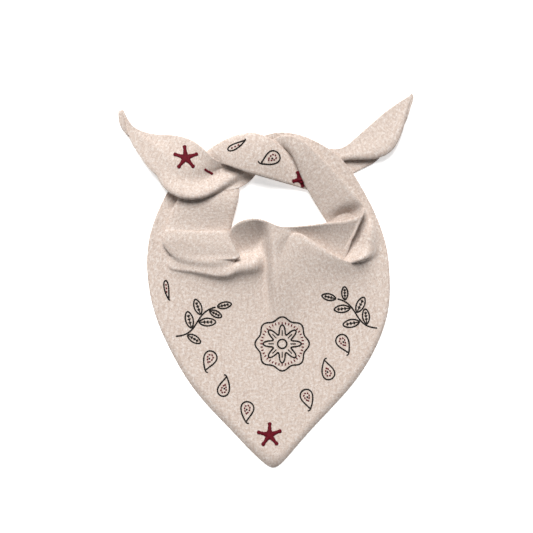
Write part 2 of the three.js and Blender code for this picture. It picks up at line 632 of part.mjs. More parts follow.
// The star as a solid, cut in two rings so that it follows the cloth under it
function starSolid(star) {
  const centre = planPoint(star.x, star.y);
  const rim = starRim(star);
  const count = rim.length;
  const layer = (lift) => [
    laidOn(centre, lift, star.ceiling),
    ...[STAR_INNER_RING, 1].flatMap((share) =>
      rim.map((point) => laidOn(point.clone().multiplyScalar(share).add(centre), lift, star.ceiling)),
    ),
  ];
  const top = layer(THREAD_CLEARANCE + THREAD_HEIGHT);
  const below = top.length;
  const index = [];
  for (let i = 0; i < count; i += 1) {
    const j = (i + 1) % count;
    const inner = [1 + i, 1 + j];
    const outer = [1 + count + i, 1 + count + j];
    index.push(0, inner[0], inner[1]);
    index.push(inner[0], outer[0], outer[1], inner[0], outer[1], inner[1]);
    index.push(below, below + inner[1], below + inner[0]);
    index.push(below + inner[0], below + outer[1], below + outer[0]);
    index.push(below + inner[0], below + inner[1], below + outer[1]);
    index.push(outer[0], below + outer[0], below + outer[1]);
    index.push(outer[0], below + outer[1], outer[1]);
  }
  return solidFrom([...top, ...layer(THREAD_CLEARANCE)], index);
}

// Closed curve round a centre whose radius swells and shrinks a number of times
function lobedOutline(centre, radius, swell, lobes, pointCount) {
  const path = [];
  for (let i = 0; i < pointCount; i += 1) {
    const angle = (i / pointCount) * 2 * Math.PI;
    path.push(turned(radius * (1 + swell * Math.cos(lobes * angle)), 0, angle, centre));
  }
  return path;
}

// Stars: place in percent, direction of the first arm and spread from arm to arm in degrees, size
// against the usual one. The last lies where the knot band dives under the right band: it looks
// foreshortened, shows three arms, and lies below the band's ceiling.
const STARS = [
  { name: "star_on_left_tail", x: -27.1, y: 82.5, turn: 93, size: 1, arms: 5, spread: 72 },
  { name: "star_at_bottom_tip", x: 1.1, y: 8.6, turn: 90, size: 1, arms: 5, spread: 72 },
  {
    name: "star_by_right_band", x: 11.5, y: 76.9, turn: 112, size: 0.66, arms: 3, spread: 88,
    ceiling: BAND_CEILING,
  },
];

// Paisleys: middle in percent, direction of the tail in degrees, width against the usual one, and
// the side its tip bends to: 1 left of that direction, -1 right of it
const PAISLEYS = [
  { name: "paisley_left_side", x: -33.8, y: 47.3, turn: -84, width: 0.35, bend: 1 },
  { name: "paisley_left_high", x: -19.7, y: 28.6, turn: -128, width: 1, bend: 1 },
  { name: "paisley_left_low", x: -13.9, y: 21.5, turn: 62, width: 0.9, bend: 1 },
  { name: "paisley_left_tip", x: -6.9, y: 14.9, turn: -112, width: 1, bend: 1 },
  { name: "paisley_right_high", x: 26.6, y: 33.1, turn: -46, width: 0.95, bend: -1 },
  { name: "paisley_right_middle", x: 20.4, y: 25.9, turn: 123, width: 0.95, bend: -1 },
  { name: "paisley_right_low", x: 14.3, y: 18.3, turn: -58, width: 0.95, bend: -1 },
  { name: "paisley_knot_left", x: -9.8, y: 85.6, turn: 24, width: 0.42, bend: 1 },
  { name: "paisley_knot_right", x: 1.5, y: 81.9, turn: 223, width: 1, bend: -1 },
];

// Medallion in the middle of the front: its lobed lines, as shares of its radius
const MEDALLION = { x: 5.4, y: 33 };
const MEDALLION_LINES = [
  { name: "medallion_rim", radius: 0.93, swell: 0.07, lobes: 8, points: 40 },
  { name: "medallion_petals", radius: 0.52, swell: 0.36, lobes: 8, points: 48 },
  { name: "medallion_heart", radius: 0.17, swell: 0, lobes: 0, points: 12 },
];

// Leafy sprays: foot in percent, and which way the stem leans
const SPRAYS = [
  { name: "spray_left", x: -30.6, y: 35, lean: 1 },
  { name: "spray_right", x: 37.6, y: 37.2, lean: -1 },
];
// Leaves of a spray: share of the stem where each one sits, side of the stem, and its size
const LEAVES = [
  { at: 0.2, side: -1, size: 0.9 },
  { at: 0.34, side: 1, size: 1 },
  { at: 0.52, side: -1, size: 1 },
  { at: 0.66, side: 1, size: 0.95 },
  { at: 0.84, side: -1, size: 0.8 },
  { at: 1, side: 0, size: 0.85 },
];

// Guide points of the stem after its foot, as shares of the spray's reach: outwards, then upwards
const STEM_GUIDES = [
  { out: 0.42, up: 0.02 },
  { out: 0.3, up: 0.42 },
  { out: 0.68, up: 0.5 },
];

function stemCurve(foot, lean) {
  const guides = STEM_GUIDES.map(({ out, up }) =>
    new THREE.Vector2(lean * out, up).multiplyScalar(SPRAY_REACH).add(foot),
  );
  return new THREE.CubicBezierCurve(foot, ...guides);
}

const neckerchief = new THREE.Group();

function addPiece(name, geometry, material) {
  const mesh = new THREE.Mesh(geometry, material);
  mesh.name = name;
  neckerchief.add(mesh);
}

addPiece("knit_cloth", cloth.geometry, yarn);

for (const star of STARS) addPiece(star.name, starSolid(star), redThread);

for (const paisley of PAISLEYS) {
  const centre = planPoint(paisley.x, paisley.y);
  const angle = THREE.MathUtils.degToRad(paisley.turn);
  const path = paisleyOutline(centre, PAISLEY_WIDTH * paisley.width, angle, paisley.bend);
  addPiece(paisley.name, threadLine(path, true), blackThread);
}

for (const line of MEDALLION_LINES) {
  const centre = planPoint(MEDALLION.x, MEDALLION.y);
  const radius = MEDALLION_RADIUS * line.radius;
  const path = lobedOutline(centre, radius, line.swell, line.lobes, line.points);
  addPiece(line.name, threadLine(path, true), blackThread);
}

for (const spray of SPRAYS) {
  const stem = stemCurve(planPoint(spray.x, spray.y), spray.lean);
  addPiece(`${spray.name}_stem`, threadLine(stem.getPoints(STEM_STEPS), false), blackThread);
  LEAVES.forEach((leaf, n) => {
    const length = LEAF_LENGTH * leaf.size;
    const tangent = stem.getTangentAt(leaf.at);
    const angle = tangent.angle() + leaf.side * LEAF_SPREAD;
    const away = length / 2 + THREAD_WIDTH + THREAD_CLEARANCE;
    const centre = turned(away, 0, angle, stem.getPointAt(leaf.at));
    const path = leafOutline(centre, length, LEAF_WIDTH * leaf.size, angle);
    addPiece(`${spray.name}_leaf_${n + 1}`, threadLine(path, true), blackThread);
  });
}

export default neckerchief;
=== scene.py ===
# %% [markdown]
# # A knitted neckerchief, tied and laid flat
# The real thing is one triangle of fine oatmeal knit. Somebody tied its two long ends in a half knot,
# laid it on a white table and let the spare width fall into soft folds. Red satin-stitch stars and
# black outline ornaments are sewn into it. Nothing here is stiff, so everything that shows is made
# from the cloth outwards: first the folded sheet, then its yarn, then the embroidery that lies on it.

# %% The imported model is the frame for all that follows
import math

import bpy
import numpy as np
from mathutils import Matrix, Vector
from mathutils.bvhtree import BVHTree


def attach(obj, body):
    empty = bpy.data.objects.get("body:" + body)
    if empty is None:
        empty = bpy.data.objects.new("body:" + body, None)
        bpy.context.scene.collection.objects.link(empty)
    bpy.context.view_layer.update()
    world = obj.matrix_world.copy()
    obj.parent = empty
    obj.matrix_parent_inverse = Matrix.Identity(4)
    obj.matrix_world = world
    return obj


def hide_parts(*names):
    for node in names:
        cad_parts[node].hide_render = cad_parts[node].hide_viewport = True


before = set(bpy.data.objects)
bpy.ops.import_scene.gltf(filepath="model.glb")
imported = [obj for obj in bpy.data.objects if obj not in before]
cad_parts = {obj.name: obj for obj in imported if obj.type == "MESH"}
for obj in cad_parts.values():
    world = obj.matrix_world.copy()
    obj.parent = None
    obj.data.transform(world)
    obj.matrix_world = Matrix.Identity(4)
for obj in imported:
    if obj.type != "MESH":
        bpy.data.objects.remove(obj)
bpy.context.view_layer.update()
bpy.ops.object.select_all(action="DESELECT")
MM = 0.001

# %% [markdown]
# ## Camera
# The photograph looks straight down. A long lens from well above keeps the outline free of
# perspective, as a product photographer's does. One pixel of the photograph is 1.1 mm of cloth, and
# one named pixel lies over the middle of the model, which is all that is needed to line the two up.

# %% Camera straight above
PHOTO_SIDE = 533
MM_PER_PIXEL = 1.1
MIDDLE_PIXEL_X = 266.0
MIDDLE_PIXEL_Y = 280.2
LENS = 105
SENSOR = 36

camera_data = bpy.data.cameras.new("camera")
camera_data.lens = LENS
camera_data.sensor_width = SENSOR
camera = bpy.data.objects.new("camera", camera_data)
bpy.context.scene.collection.objects.link(camera)
bpy.context.scene.camera = camera

field = PHOTO_SIDE * MM_PER_PIXEL * MM
camera.location = (
    (PHOTO_SIDE / 2 - MIDDLE_PIXEL_X) * MM_PER_PIXEL * MM,
    (MIDDLE_PIXEL_Y - PHOTO_SIDE / 2) * MM_PER_PIXEL * MM,
    field * LENS / SENSOR,
)
print("camera height in metres:", round(camera.location.z, 3))

# %% [markdown]
# ## Table and light
# A white table under a soft window light that comes from beyond the top edge of the picture, with
# some light bounced back from all round. The soft key gives the folds their shape, the bounce keeps
# the hollows open.

# %% A material with its finish
def new_material(name, finish):
    """A new material with its node tree and its shader, whose plain values come from the finish."""
    material = bpy.data.materials.new(name)
    material.use_nodes = True
    shader = material.node_tree.nodes["Principled BSDF"]
    for label, value in finish.items():
        shader.inputs[label].default_value = value
    return material, material.node_tree, shader


# %% The table
TABLE_SIDE = 3.0
TABLE_FINISH = {
    "Base Color": (0.93, 0.93, 0.93, 1),
    "Roughness": 0.9,
    "Emission Color": (1, 1, 1, 1),
    "Emission Strength": 0.5,
}
bpy.ops.mesh.primitive_plane_add(size=TABLE_SIDE)
table = bpy.context.object
table.name = "table"
table.data.materials.append(new_material("white_table", TABLE_FINISH)[0])
print("table side in metres:", TABLE_SIDE)

# %% The window and the light bounced back
BOUNCE_STRENGTH = 0.12
BOUNCE_COLOR = (0.9, 0.95, 1.0, 1)
world = bpy.data.worlds.new("bounce")
world.use_nodes = True
world.node_tree.nodes["Background"].inputs["Color"].default_value = BOUNCE_COLOR
world.node_tree.nodes["Background"].inputs["Strength"].default_value = BOUNCE_STRENGTH
bpy.context.scene.world = world

KEY_DIRECTION = Vector((-0.16, 0.8, 1.0)).normalized()
KEY_STRENGTH = 4.6
KEY_SOFTNESS = math.radians(34)
KEY_COLOR = (1.0, 0.985, 0.965)
key_data = bpy.data.lights.new("window", "SUN")
key_data.angle = KEY_SOFTNESS
key_data.energy = KEY_STRENGTH
key_data.color = KEY_COLOR
key = bpy.data.objects.new("window", key_data)
key.location = KEY_DIRECTION
key.rotation_euler = KEY_DIRECTION.to_track_quat("Z", "Y").to_euler()
bpy.context.scene.collection.objects.link(key)
bpy.context.scene.view_settings.view_transform = "Standard"
print("the window stands", round(math.degrees(math.asin(KEY_DIRECTION.z))), "degrees above the table")

# %% [markdown]
# ## The folded sheet
# Cloth is easiest to understand section by section. Each row below is one cut through the folded
# sheet, from its neck edge to its hem. A section leaves the neck edge, turns at its fold, turns back
# and ends at the hem, and the rows follow the neck edge from the tip of the left end to the tip of
# the right one. Simulated cloth would fall somewhere else every time; with sections each fold lies
# where it belongs, and the solid model was made from the very same sections.
#
# All values are in percent: X of the lying width from the middle, Y of the lying length from the
# bottom tip, Up of the fold height above the cloth where it lies flat. Gap is half the drop from
# layer to layer at a turn, of the fold height too. Run is how far the last slope takes to reach the
# table, of the lying length, and 0 where it comes to the hem first.

# %% Sizes and the columns of the tables
LYING_WIDTH = 324 * MM
LYING_LENGTH = 411 * MM
FOLD_HEIGHT = 26 * MM
CLOTH_THICKNESS = 2 * MM
FOLD_ROUNDING = 4.4 * MM
LONGEST_ROUNDING = 1 / 3
REST_HEIGHT = CLOTH_THICKNESS / 2

COLUMNS = (
    "edgeX edgeY edgeUp foldX foldY foldUp foldGap backX backY backUp backGap hemX hemY hemUp run"
).split()

# %% Left tail, tip to knot: its neck edge is rolled under along the lower side
LEFT_TAIL = [
    ("tip", -49, 94.9, 10, -50, 95.1, 5, 4, -49.3, 95.4, 1, 0, -48.4, 95.4, 1, 0),
    ("curl", -48.4, 93.1, 13, -50, 93, 7, 4, -48.9, 93.3, 2, 0, -47.4, 93.5, 3, 0),
    ("curl2", -47.6, 91.1, 13, -49.4, 90.8, 7, 4, -48, 91.1, 3, 0, -45.6, 91.2, 5, 0),
    ("near", -46, 87.2, 10, -45.5, 87.7, 11, 0, -44.1, 88.7, 11, 0, -42.4, 89.8, 6, 0),
    ("wide", -42.2, 82.7, 23, -41.5, 83.5, 26, 0, -40, 85.7, 25, 0, -37.7, 88.8, 9, 0),
    ("star", -38.6, 78.8, 37, -37.8, 79.9, 41, 0, -36, 83, 40, 0, -32.2, 88.7, 15, 0),
    ("full", -33.6, 76.6, 37, -35.5, 75.1, 46, -9, -31.9, 79.5, 49, 0, -26.8, 87.8, 26, 0),
    ("roll", -29.5, 75.2, 38, -32, 72.5, 62, -19, -27.8, 77.6, 49, 0, -23.5, 86.4, 42, 0),
    ("lip", -25.1, 74.7, 38, -27.1, 71.1, 67, -22, -23.4, 77.2, 42, 0, -20.7, 84.5, 54, 0),
    ("hole", -20.4, 74.7, 35, -22.1, 71.3, 64, -22, -19.3, 77.6, 28, 0, -18.2, 82.6, 53, 0),
]

# %% The same end on its way under the knot
LEFT_UNDER_KNOT = [
    ("dive", -15.3, 73.8, 28, -17.4, 72.9, 52, -16, -15.9, 79, 22, 0, -15.9, 81.4, 45, 0),
    ("strip", -11.3, 74, 23, -11.7, 76.1, 27, -10, -12, 79.9, 19, 0, -12.2, 82.7, 25, 0),
    ("cross", -6.4, 75.8, 8, -6.6, 78.5, 20, -8, -7.5, 82.2, 18, 0, -7.8, 84.9, 21, 0),
    ("swing", -2.7, 79, 8, -2.7, 81.4, 12, 0, -3.7, 84.6, 14, 0, -4.4, 87, 18, 0),
    ("foldOver", -1.4, 83.5, 24, 1.4, 83.2, 14, 6, -0.7, 85.9, 13, 0, -2.4, 88, 18, 0),
]

# %% Right band, knot to corner: folded in two along the neck opening
RIGHT_BAND = [
    ("emerge", 2, 87.5, 28, 5.1, 85.3, 21, 6, 2.7, 87.3, 16, 0, 0.5, 88.8, 18, 0),
    ("top", 6.1, 88.4, 61, 7.7, 84.3, 50, 11, 6.1, 86.7, 35, 0, 4.4, 89.4, 33, 0),
    ("shoulder", 10.5, 87.9, 80, 9.5, 81.9, 57, 13, 9.5, 85.4, 49, 0, 8.8, 89, 44, 0),
    ("high", 14.9, 85.3, 83, 11.5, 77.8, 45, 12, 13.6, 82.7, 52, 0, 13.6, 88, 42, 0),
    ("over", 19.3, 81.7, 77, 13.8, 73.9, 33, 11, 17, 79.5, 38, 0, 18.7, 86, 40, 0),
    ("mid", 24.1, 77.8, 72, 16.4, 70.2, 23, 10, 20.7, 75.2, 27, 0, 23.9, 83.4, 35, 0),
    ("lower", 28.5, 74, 66, 19, 67, 16, 8, 25.1, 71.5, 17, 0, 29.5, 78.3, 26, 0),
    ("tuck", 31.8, 70.8, 62, 21.4, 63.7, 12, 6, 29.2, 67.5, 7, 0, 34.1, 72.1, 12, 0),
    ("corner", 32.9, 69.3, 60, 23.7, 58.9, 8, 4, 31.9, 61.3, 0, 0, 37.8, 66.2, 1, 0),
]

# %% Throat, corner to middle: the cloth dips behind a slanting ridge
THROAT = [
    ("turn", 33, 68.3, 62, 26.3, 55.8, 12, 0, 27.7, 56.9, 3, 0, 40, 61, 0, 5.9),
    ("hook", 32.4, 67.4, 63, 26.3, 54.9, 8, -2, 28.7, 54.1, 28, -4, 40.8, 58.6, 0, 7),
    ("flapRight", 31.1, 66.7, 62, 25.6, 54.4, 8, -5, 26.1, 54.2, 33, -6, 41.4, 55.7, 0, 8.6),
    ("flapMid", 26.8, 65.7, 61, 22.3, 55.6, 7, -6, 22, 56.9, 39, -9, 41.9, 49, 0, 10.7),
    ("flapLeft", 21.4, 65.3, 57, 18, 57.9, 9, -7, 17.8, 59.2, 44, -10, 41.5, 42, 0, 12.8),
    ("ridge", 16.3, 64.7, 52, 14, 60.2, 16, -6, 13.8, 61.4, 47, -8, 38, 33.3, 0, 13.9),
    ("ridgeEnd", 11.4, 64.3, 44, 10.2, 61.7, 30, -6, 10.2, 62.8, 50, -6, 31, 23.7, 0, 15),
]

# %% Front, middle to the bowl beside the left band
FRONT = [
    ("join", 7.1, 64.1, 53, 7.3, 62.9, 53, 0, 7.5, 61.3, 49, 0, 22, 15.8, 0, 16.1),
    ("spine", 3.7, 64.3, 66, 4.1, 61.3, 64, 0, 4.4, 54.9, 55, 0, 11.9, 7.3, 0, 18.7),
    ("spine2", 0.9, 65.4, 75, 1.8, 61.3, 73, 0, 2.2, 54.9, 63, 0, 5.3, 0.9, 0, 16.6),
    ("bowlRight", -2.7, 66.2, 75, -1.2, 60.8, 6, 0, -0.3, 54.9, 2, 0, 1.2, 0, 0, 3.7),
    ("bowlRim", -5.2, 66.3, 75, -3.3, 58.6, 0, 0, -2.7, 54.3, 53, 0, -2, 2, 0, 4),
    ("bowl", -7.8, 65.8, 71, -6.1, 57.8, 0, 0, -6.1, 53.8, 56, 0, -6.8, 5.6, 0, 3.7),
    ("bowlLeft", -10.5, 64.9, 58, -8.5, 57.3, 0, 0, -9.5, 53.4, 55, 0, -13, 11, 0, 3.2),
    ("notch", -12.4, 63, 38, -10.2, 57, 7, 0, -11.2, 52.6, 56, 0, -19.7, 16.2, 0, 2.7),
    ("inside", -12.8, 60, 18, -10, 56.1, 37, 0, -12.2, 52.2, 50, 0, -26.5, 22.9, 0, 2.7),
]

# %% Puffed fold that laps over the foot of the left band
PAD = [
    ("uTurn", -9, 55.9, 53, -11.5, 54.8, 62, 0, -15.6, 51.9, 45, 0, -31.9, 30.5, 0, 2.3),
    ("padFoot", -9.3, 56.9, 56, -18.7, 55, 49, 0, -24.1, 53.3, 28, 0, -34.4, 34.5, 0, 1.9),
    ("padLow", -10.3, 58.2, 57, -32.6, 55.8, 21, 2, -33.2, 54.2, 9, 2, -36.6, 38.5, 0, 1.3),
    ("padMid", -11.6, 60.1, 54, -35.5, 57.9, 24, 8, -32.2, 56.2, 7, 6, -38.8, 43.6, 0, 1.6),
    ("padHigh", -12.5, 62.1, 48, -35.5, 60.5, 25, 9, -30.9, 58.9, 8, 6, -40.1, 49.8, 0, 1.6),
    ("crest", -13.2, 63.6, 40, -34.9, 63.2, 25, 8, -27.8, 61.6, 8, 6, -40.5, 55.7, 0, 1.6),
]

# %% Left band, up to the knot: pleated in three, with its hem outermost
LEFT_BAND = [
    ("undercut", -12.6, 60.8, 12, -34.3, 63.7, 20, 7, -27.1, 62.4, 8, 6, -39.9, 60.2, 0, 0),
    ("dip", -11.9, 64.3, 11, -33.2, 67, 21, 8, -25.8, 65.3, 8, 6, -38.7, 64, 0, 0),
    ("bandMid", -10.7, 67.8, 23, -31.4, 69.9, 26, 9, -24.1, 68.5, 8, 6, -37, 67.7, 0, 0),
    ("bandTop", -9.4, 71.8, 29, -29.3, 72.8, 28, 9, -22.4, 72.5, 8, 6, -34.6, 71.9, 0, 0),
    ("behind", -9.2, 75.1, 9, -26.8, 76, 18, 6, -20.7, 76, 7, 6, -31.5, 76, 0, 0),
]

# %% The same end where it turns up round the other one
RIGHT_WRAP = [
    ("lowTurn", -12.3, 78.4, 8, -24.4, 79.5, 16, 6, -19.3, 79, 6, 5, -27.8, 80.6, 0, 0),
    ("rise", -15.1, 80.6, 24, -21.7, 83.8, 22, 6, -18.3, 81.9, 10, 5, -23.7, 84, 2, 0),
    ("bend", -14.8, 81, 48, -18.9, 85.4, 28, 8, -16.6, 83, 17, 6, -20.4, 83.8, 7, 0),
]

# %% Band across the front of the knot
KNOT_BAND = [
    ("paisleyLeft", -11.9, 80.2, 64, -14.6, 87.4, 43, 10, -13.2, 83.2, 34, 6, -13.9, 85.1, 26, 0),
    ("paisley", -7.5, 78.9, 68, -9.4, 89, 55, 10, -8.3, 82.7, 42, 6, -8.8, 85.9, 35, 0),
    ("paisleyMid", -2.8, 77.8, 64, -4.6, 89.5, 55, 10, -3.7, 82.2, 41, 6, -4.2, 85.4, 34, 0),
    ("paisleyRight", 1.8, 76.8, 54, 0.3, 88.3, 55, 8, 1.4, 81.1, 39, 6, 1, 83.8, 34, 0),
    ("sink", 6.1, 75.9, 33, 4.7, 86.3, 35, 5, 5.6, 80.6, 23, 4, 5.3, 83, 19, 0),
    ("under3", 10.9, 74.9, 18, 8.7, 84.7, 21, 4, 9, 79.8, 14, 0, 8.8, 81.9, 13, 0),
]

# %% Right tail, knot to tip: a roll over a narrow lower layer
RIGHT_TAIL = [
    ("hidden", 15.9, 73.9, 13, 15.3, 79, 16, 0, 14.9, 81.6, 18, 0, 14.6, 84.6, 20, 0),
    ("hidden2", 22.4, 75.6, 3, 21.4, 81.1, 9, -2, 21, 80.6, 16, -3, 20.7, 85.1, 20, 0),
    ("exit", 28.2, 78.1, 0, 26.8, 84.3, 9, -6, 27, 81.9, 22, -9, 26.1, 85, 23, 0),
    ("fold", 33.1, 80, 0, 30.5, 85.7, 9, -6, 31.9, 81.9, 26, -13, 30.9, 88.4, 20, 0),
    ("elbow", 37.5, 81.8, 0, 34.9, 87, 9, -6, 37.2, 82.1, 26, -13, 35.3, 91.4, 18, 0),
    ("side", 40.2, 84.6, 2, 39.3, 87.3, 9, -6, 41.9, 83.6, 23, -12, 39.3, 94.2, 15, 0),
    ("upper", 43.8, 88.3, 3, 42.4, 90.7, 8, -4, 45.1, 87.3, 19, -9, 42.9, 96.3, 11, 0),
    ("nearTip", 47.3, 92.1, 2, 46, 94, 6, -2, 47.2, 92.9, 12, -4, 45.8, 97.9, 7, 0),
    ("point", 48.9, 96.2, 1, 48.6, 97, 2, 0, 48.4, 97.8, 4, 0, 48, 98.8, 2, 0),
    ("end", 50, 98.8, 0, 49.8, 99.2, 0, 0, 49.6, 99.6, 0, 0, 49.4, 100, 0, 0),
]

# %% [markdown]
# Between its guide points a section runs straight. Where the cloth arches over a wide stretch, a bow
# lifts it, and a few small swells and hollows are pressed in afterwards, as a stylist's finger would.

# %% Bows, swells and hollows
# Each stretch with the bow of its wide spans, as a share of their own length: neck edge to fold,
# fold to turn-back, turn-back to hem
STRETCHES = [
    (LEFT_TAIL, (0, 0, 0.07)),
    (LEFT_UNDER_KNOT, (0, 0.06, 0.04)),
    (RIGHT_BAND, (0.05, 0, 0)),
    (THROAT, (-0.04, 0, 0.1)),
    (FRONT, (-0.03, -0.02, 0.06)),
    (PAD, (0, 0, 0)),
    (LEFT_BAND, (0.05, 0, 0)),
    (RIGHT_WRAP, (0, 0, 0)),
    (KNOT_BAND, (0.08, 0, 0)),
    (RIGHT_TAIL, (0, 0, 0.06)),
]

# Swells and hollows that the sections alone are too coarse for. Each works on the named sections and
# spans only. Its middle is in percent of the lying size and its turn in degrees; length and width are
# how far it reaches, in percent of the lying width, and rise is in percent of the fold height
FORM_COLUMNS = ("name", "from", "to", "spans", "x", "y", "turn", "length", "width", "rise")
FORMS = [
    ("pocket", "lower", "corner", (0, 2), 26.8, 67.2, 25, 5, 2.4, -42),
    ("pocketFloor", "tuck", "corner", (0, 2), 28.5, 63.5, 60, 5, 3, -30),
    ("flapEdge", "turn", "hook", (0, 1.5), 30.4, 62.2, 68, 6, 2.6, 10),
    ("armLow", "corner", "hook", (6, 7), 31, 55, 42, 4.6, 1.8, 30),
    ("armHigh", "mid", "hook", (6, 7), 35.6, 62, 76, 8, 3, 34),
]

# Where a fold runs out and the cloth should flow: first and last section, spans, and how many times
# it is relaxed
RELAXED = [
    ("uTurn", "padMid", (1.4, 4.8), 50),
    ("turn", "flapMid", (2, 5), 16),
]

# %% [markdown]
# Nine guide points describe a section: its edge, each turn with a helper on both sides that keeps
# the turn round and the layers apart, the foot of the last slope and the hem. Smooth lines then run
# along the sheet through the same guide point of every section.

# %% From a row of the table to its nine guide points
def placed(x, y, up):
    return np.array([x * LYING_WIDTH, (y - 0.5) * LYING_LENGTH, REST_HEIGHT + up * FOLD_HEIGHT])


def beside_turn(turn, neighbour, rise):
    """A point a short way from a turn towards its neighbour, one layer higher or lower."""
    step = neighbour[:2] - turn[:2]
    length = np.hypot(*step)
    step = step / length * min(FOLD_ROUNDING, length * LONGEST_ROUNDING)
    return np.array([turn[0] + step[0], turn[1] + step[1], turn[2] + rise])


def foot_of(back, hem, run, drop):
    """Where the last slope ends: on the table after its run, or half way to the hem."""
    if run == 0:
        foot = (back + hem) / 2
        foot[2] -= drop / 2
        return foot
    reach = np.hypot(*(hem - back)[:2])
    foot = back + (hem - back) * run * LYING_LENGTH / reach
    foot[2] = REST_HEIGHT
    return foot


def section_of(row):
    at = dict(zip(COLUMNS, (value / 100 for value in row[1:])))
    edge = placed(at["edgeX"], at["edgeY"], at["edgeUp"])
    fold = placed(at["foldX"], at["foldY"], at["foldUp"])
    back = placed(at["backX"], at["backY"], at["backUp"])
    hem = placed(at["hemX"], at["hemY"], at["hemUp"])
    fold_rise = at["foldGap"] * FOLD_HEIGHT
    back_rise = at["backGap"] * FOLD_HEIGHT
    return np.array([
        edge,
        beside_turn(fold, edge, fold_rise),
        fold,
        beside_turn(fold, back, -fold_rise),
        beside_turn(back, fold, back_rise),
        back,
        beside_turn(back, hem, -back_rise),
        foot_of(back, hem, at["run"], back_rise),
        hem,
    ])


section_names = [row[0] for rows, _ in STRETCHES for row in rows]
sections = np.array([section_of(row) for rows, _ in STRETCHES for row in rows])
section_bows = np.array([bow for rows, bow in STRETCHES for _ in rows])
print(len(sections), "sections with", sections.shape[1], "guide points each")

# %% Smooth lines along the sheet
def knots_of(points):
    """Spline knots, spaced by the root of the mean distance between neighbouring sections."""
    steps = np.linalg.norm(np.diff(points, axis=0), axis=2).mean(axis=1)
    return np.concatenate([[0], np.cumsum(np.sqrt(np.maximum(steps, MM)))])


def spline_along(points, knots, wanted):
    """Every guide line at the wanted knot values, by a cubic between neighbouring sections."""
    gaps = np.diff(knots)[:, None, None]
    slopes = np.diff(points, axis=0) / gaps
    tangents = np.concatenate([slopes[:1], slopes[:-1], slopes[-1:]])
    share = gaps[1:] / (gaps[1:] + gaps[:-1])
    tangents[1:-1] = slopes[:-1] * share + slopes[1:] * (1 - share)
    cell = np.clip(np.searchsorted(knots, wanted, side="right") - 1, 0, len(points) - 2)
    gap = (knots[cell + 1] - knots[cell])[:, None, None]
    f = ((wanted - knots[cell]) / np.diff(knots)[cell])[:, None, None]
    return (
        (2 * f**3 - 3 * f**2 + 1) * points[cell]
        + (f**3 - 2 * f**2 + f) * gap * tangents[cell]
        + (3 * f**2 - 2 * f**3) * points[cell + 1]
        + (f**3 - f**2) * gap * tangents[cell + 1]
    )


# %% Rounding the turns and letting named places flow
FADE_SECTIONS = 1
FADE_SPANS = 1


def soften(grid, axis, passes):
    """Rounds the turns: each inner point moves half way to the middle of its neighbours."""
    grid = np.moveaxis(grid, axis, 0).copy()
    for _ in range(passes):
        grid[1:-1] = (grid[:-2] + 2 * grid[1:-1] + grid[2:]) / 4
    return np.moveaxis(grid, 0, axis)


def between(values, low, high, soft):
    """1 between two bounds, fading to 0 over a soft margin outside them."""
    inside = np.minimum((values - low) / soft + 1, (high - values) / soft + 1)
    inside = np.clip(inside, 0, 1)
    return inside * inside * (3 - 2 * inside)


def share_at(section_at, span_at, first, last, spans):
    """How far each grid point belongs to the named sections and spans, from 0 to 1."""
    ends = section_names.index(first), section_names.index(last)
    near_sections = between(section_at, *ends, FADE_SECTIONS)
    return near_sections[:, None] * between(span_at, *spans, FADE_SPANS)


def relax(grid, section_at, span_at):
    """Lets the named places flow: each point moves towards the middle of its four neighbours."""
    for first, last, spans, passes in RELAXED:
        share = share_at(section_at, span_at, first, last, spans)[1:-1, 1:-1, None]
        for _ in range(passes):
            middle = (grid[:-2, 1:-1] + grid[2:, 1:-1] + grid[1:-1, :-2] + grid[1:-1, 2:]) / 4
            grid[1:-1, 1:-1] += (middle - grid[1:-1, 1:-1]) * share
    return grid


# %% Pressing the swells and hollows
def press_forms(grid, section_at, span_at):
    """Lifts or sinks the sheet by each swell and hollow of the table."""
    for row in FORMS:
        form = dict(zip(FORM_COLUMNS, row))
        x, y = placed(form["x"] / 100, form["y"] / 100, 0)[:2]
        turn = math.radians(form["turn"])
        along = (grid[..., 0] - x) * math.cos(turn) + (grid[..., 1] - y) * math.sin(turn)
        aside = (grid[..., 1] - y) * math.cos(turn) - (grid[..., 0] - x) * math.sin(turn)
        reach, girth = form["length"] / 100 * LYING_WIDTH, form["width"] / 100 * LYING_WIDTH
        swell = np.exp(-((along / reach) ** 2) - (aside / girth) ** 2)
        share = share_at(section_at, span_at, form["from"], form["to"], form["spans"])
        grid[..., 2] += form["rise"] / 100 * FOLD_HEIGHT * swell * share
    grid[..., 2] = np.maximum(grid[..., 2], REST_HEIGHT)
    return grid


# %% The fine grid
FINENESS = 4
COARSE_ROWS = 95
ROWS_ALONG = COARSE_ROWS * FINENESS + 1
STEPS_PER_SPAN = [3, 2, 2, 3, 2, 2, 3, 3]
BOWED_SPANS = [0, 3, 6]
SOFTENING_PASSES = 2 * FINENESS * FINENESS
LENGTHWISE_PASSES = 10


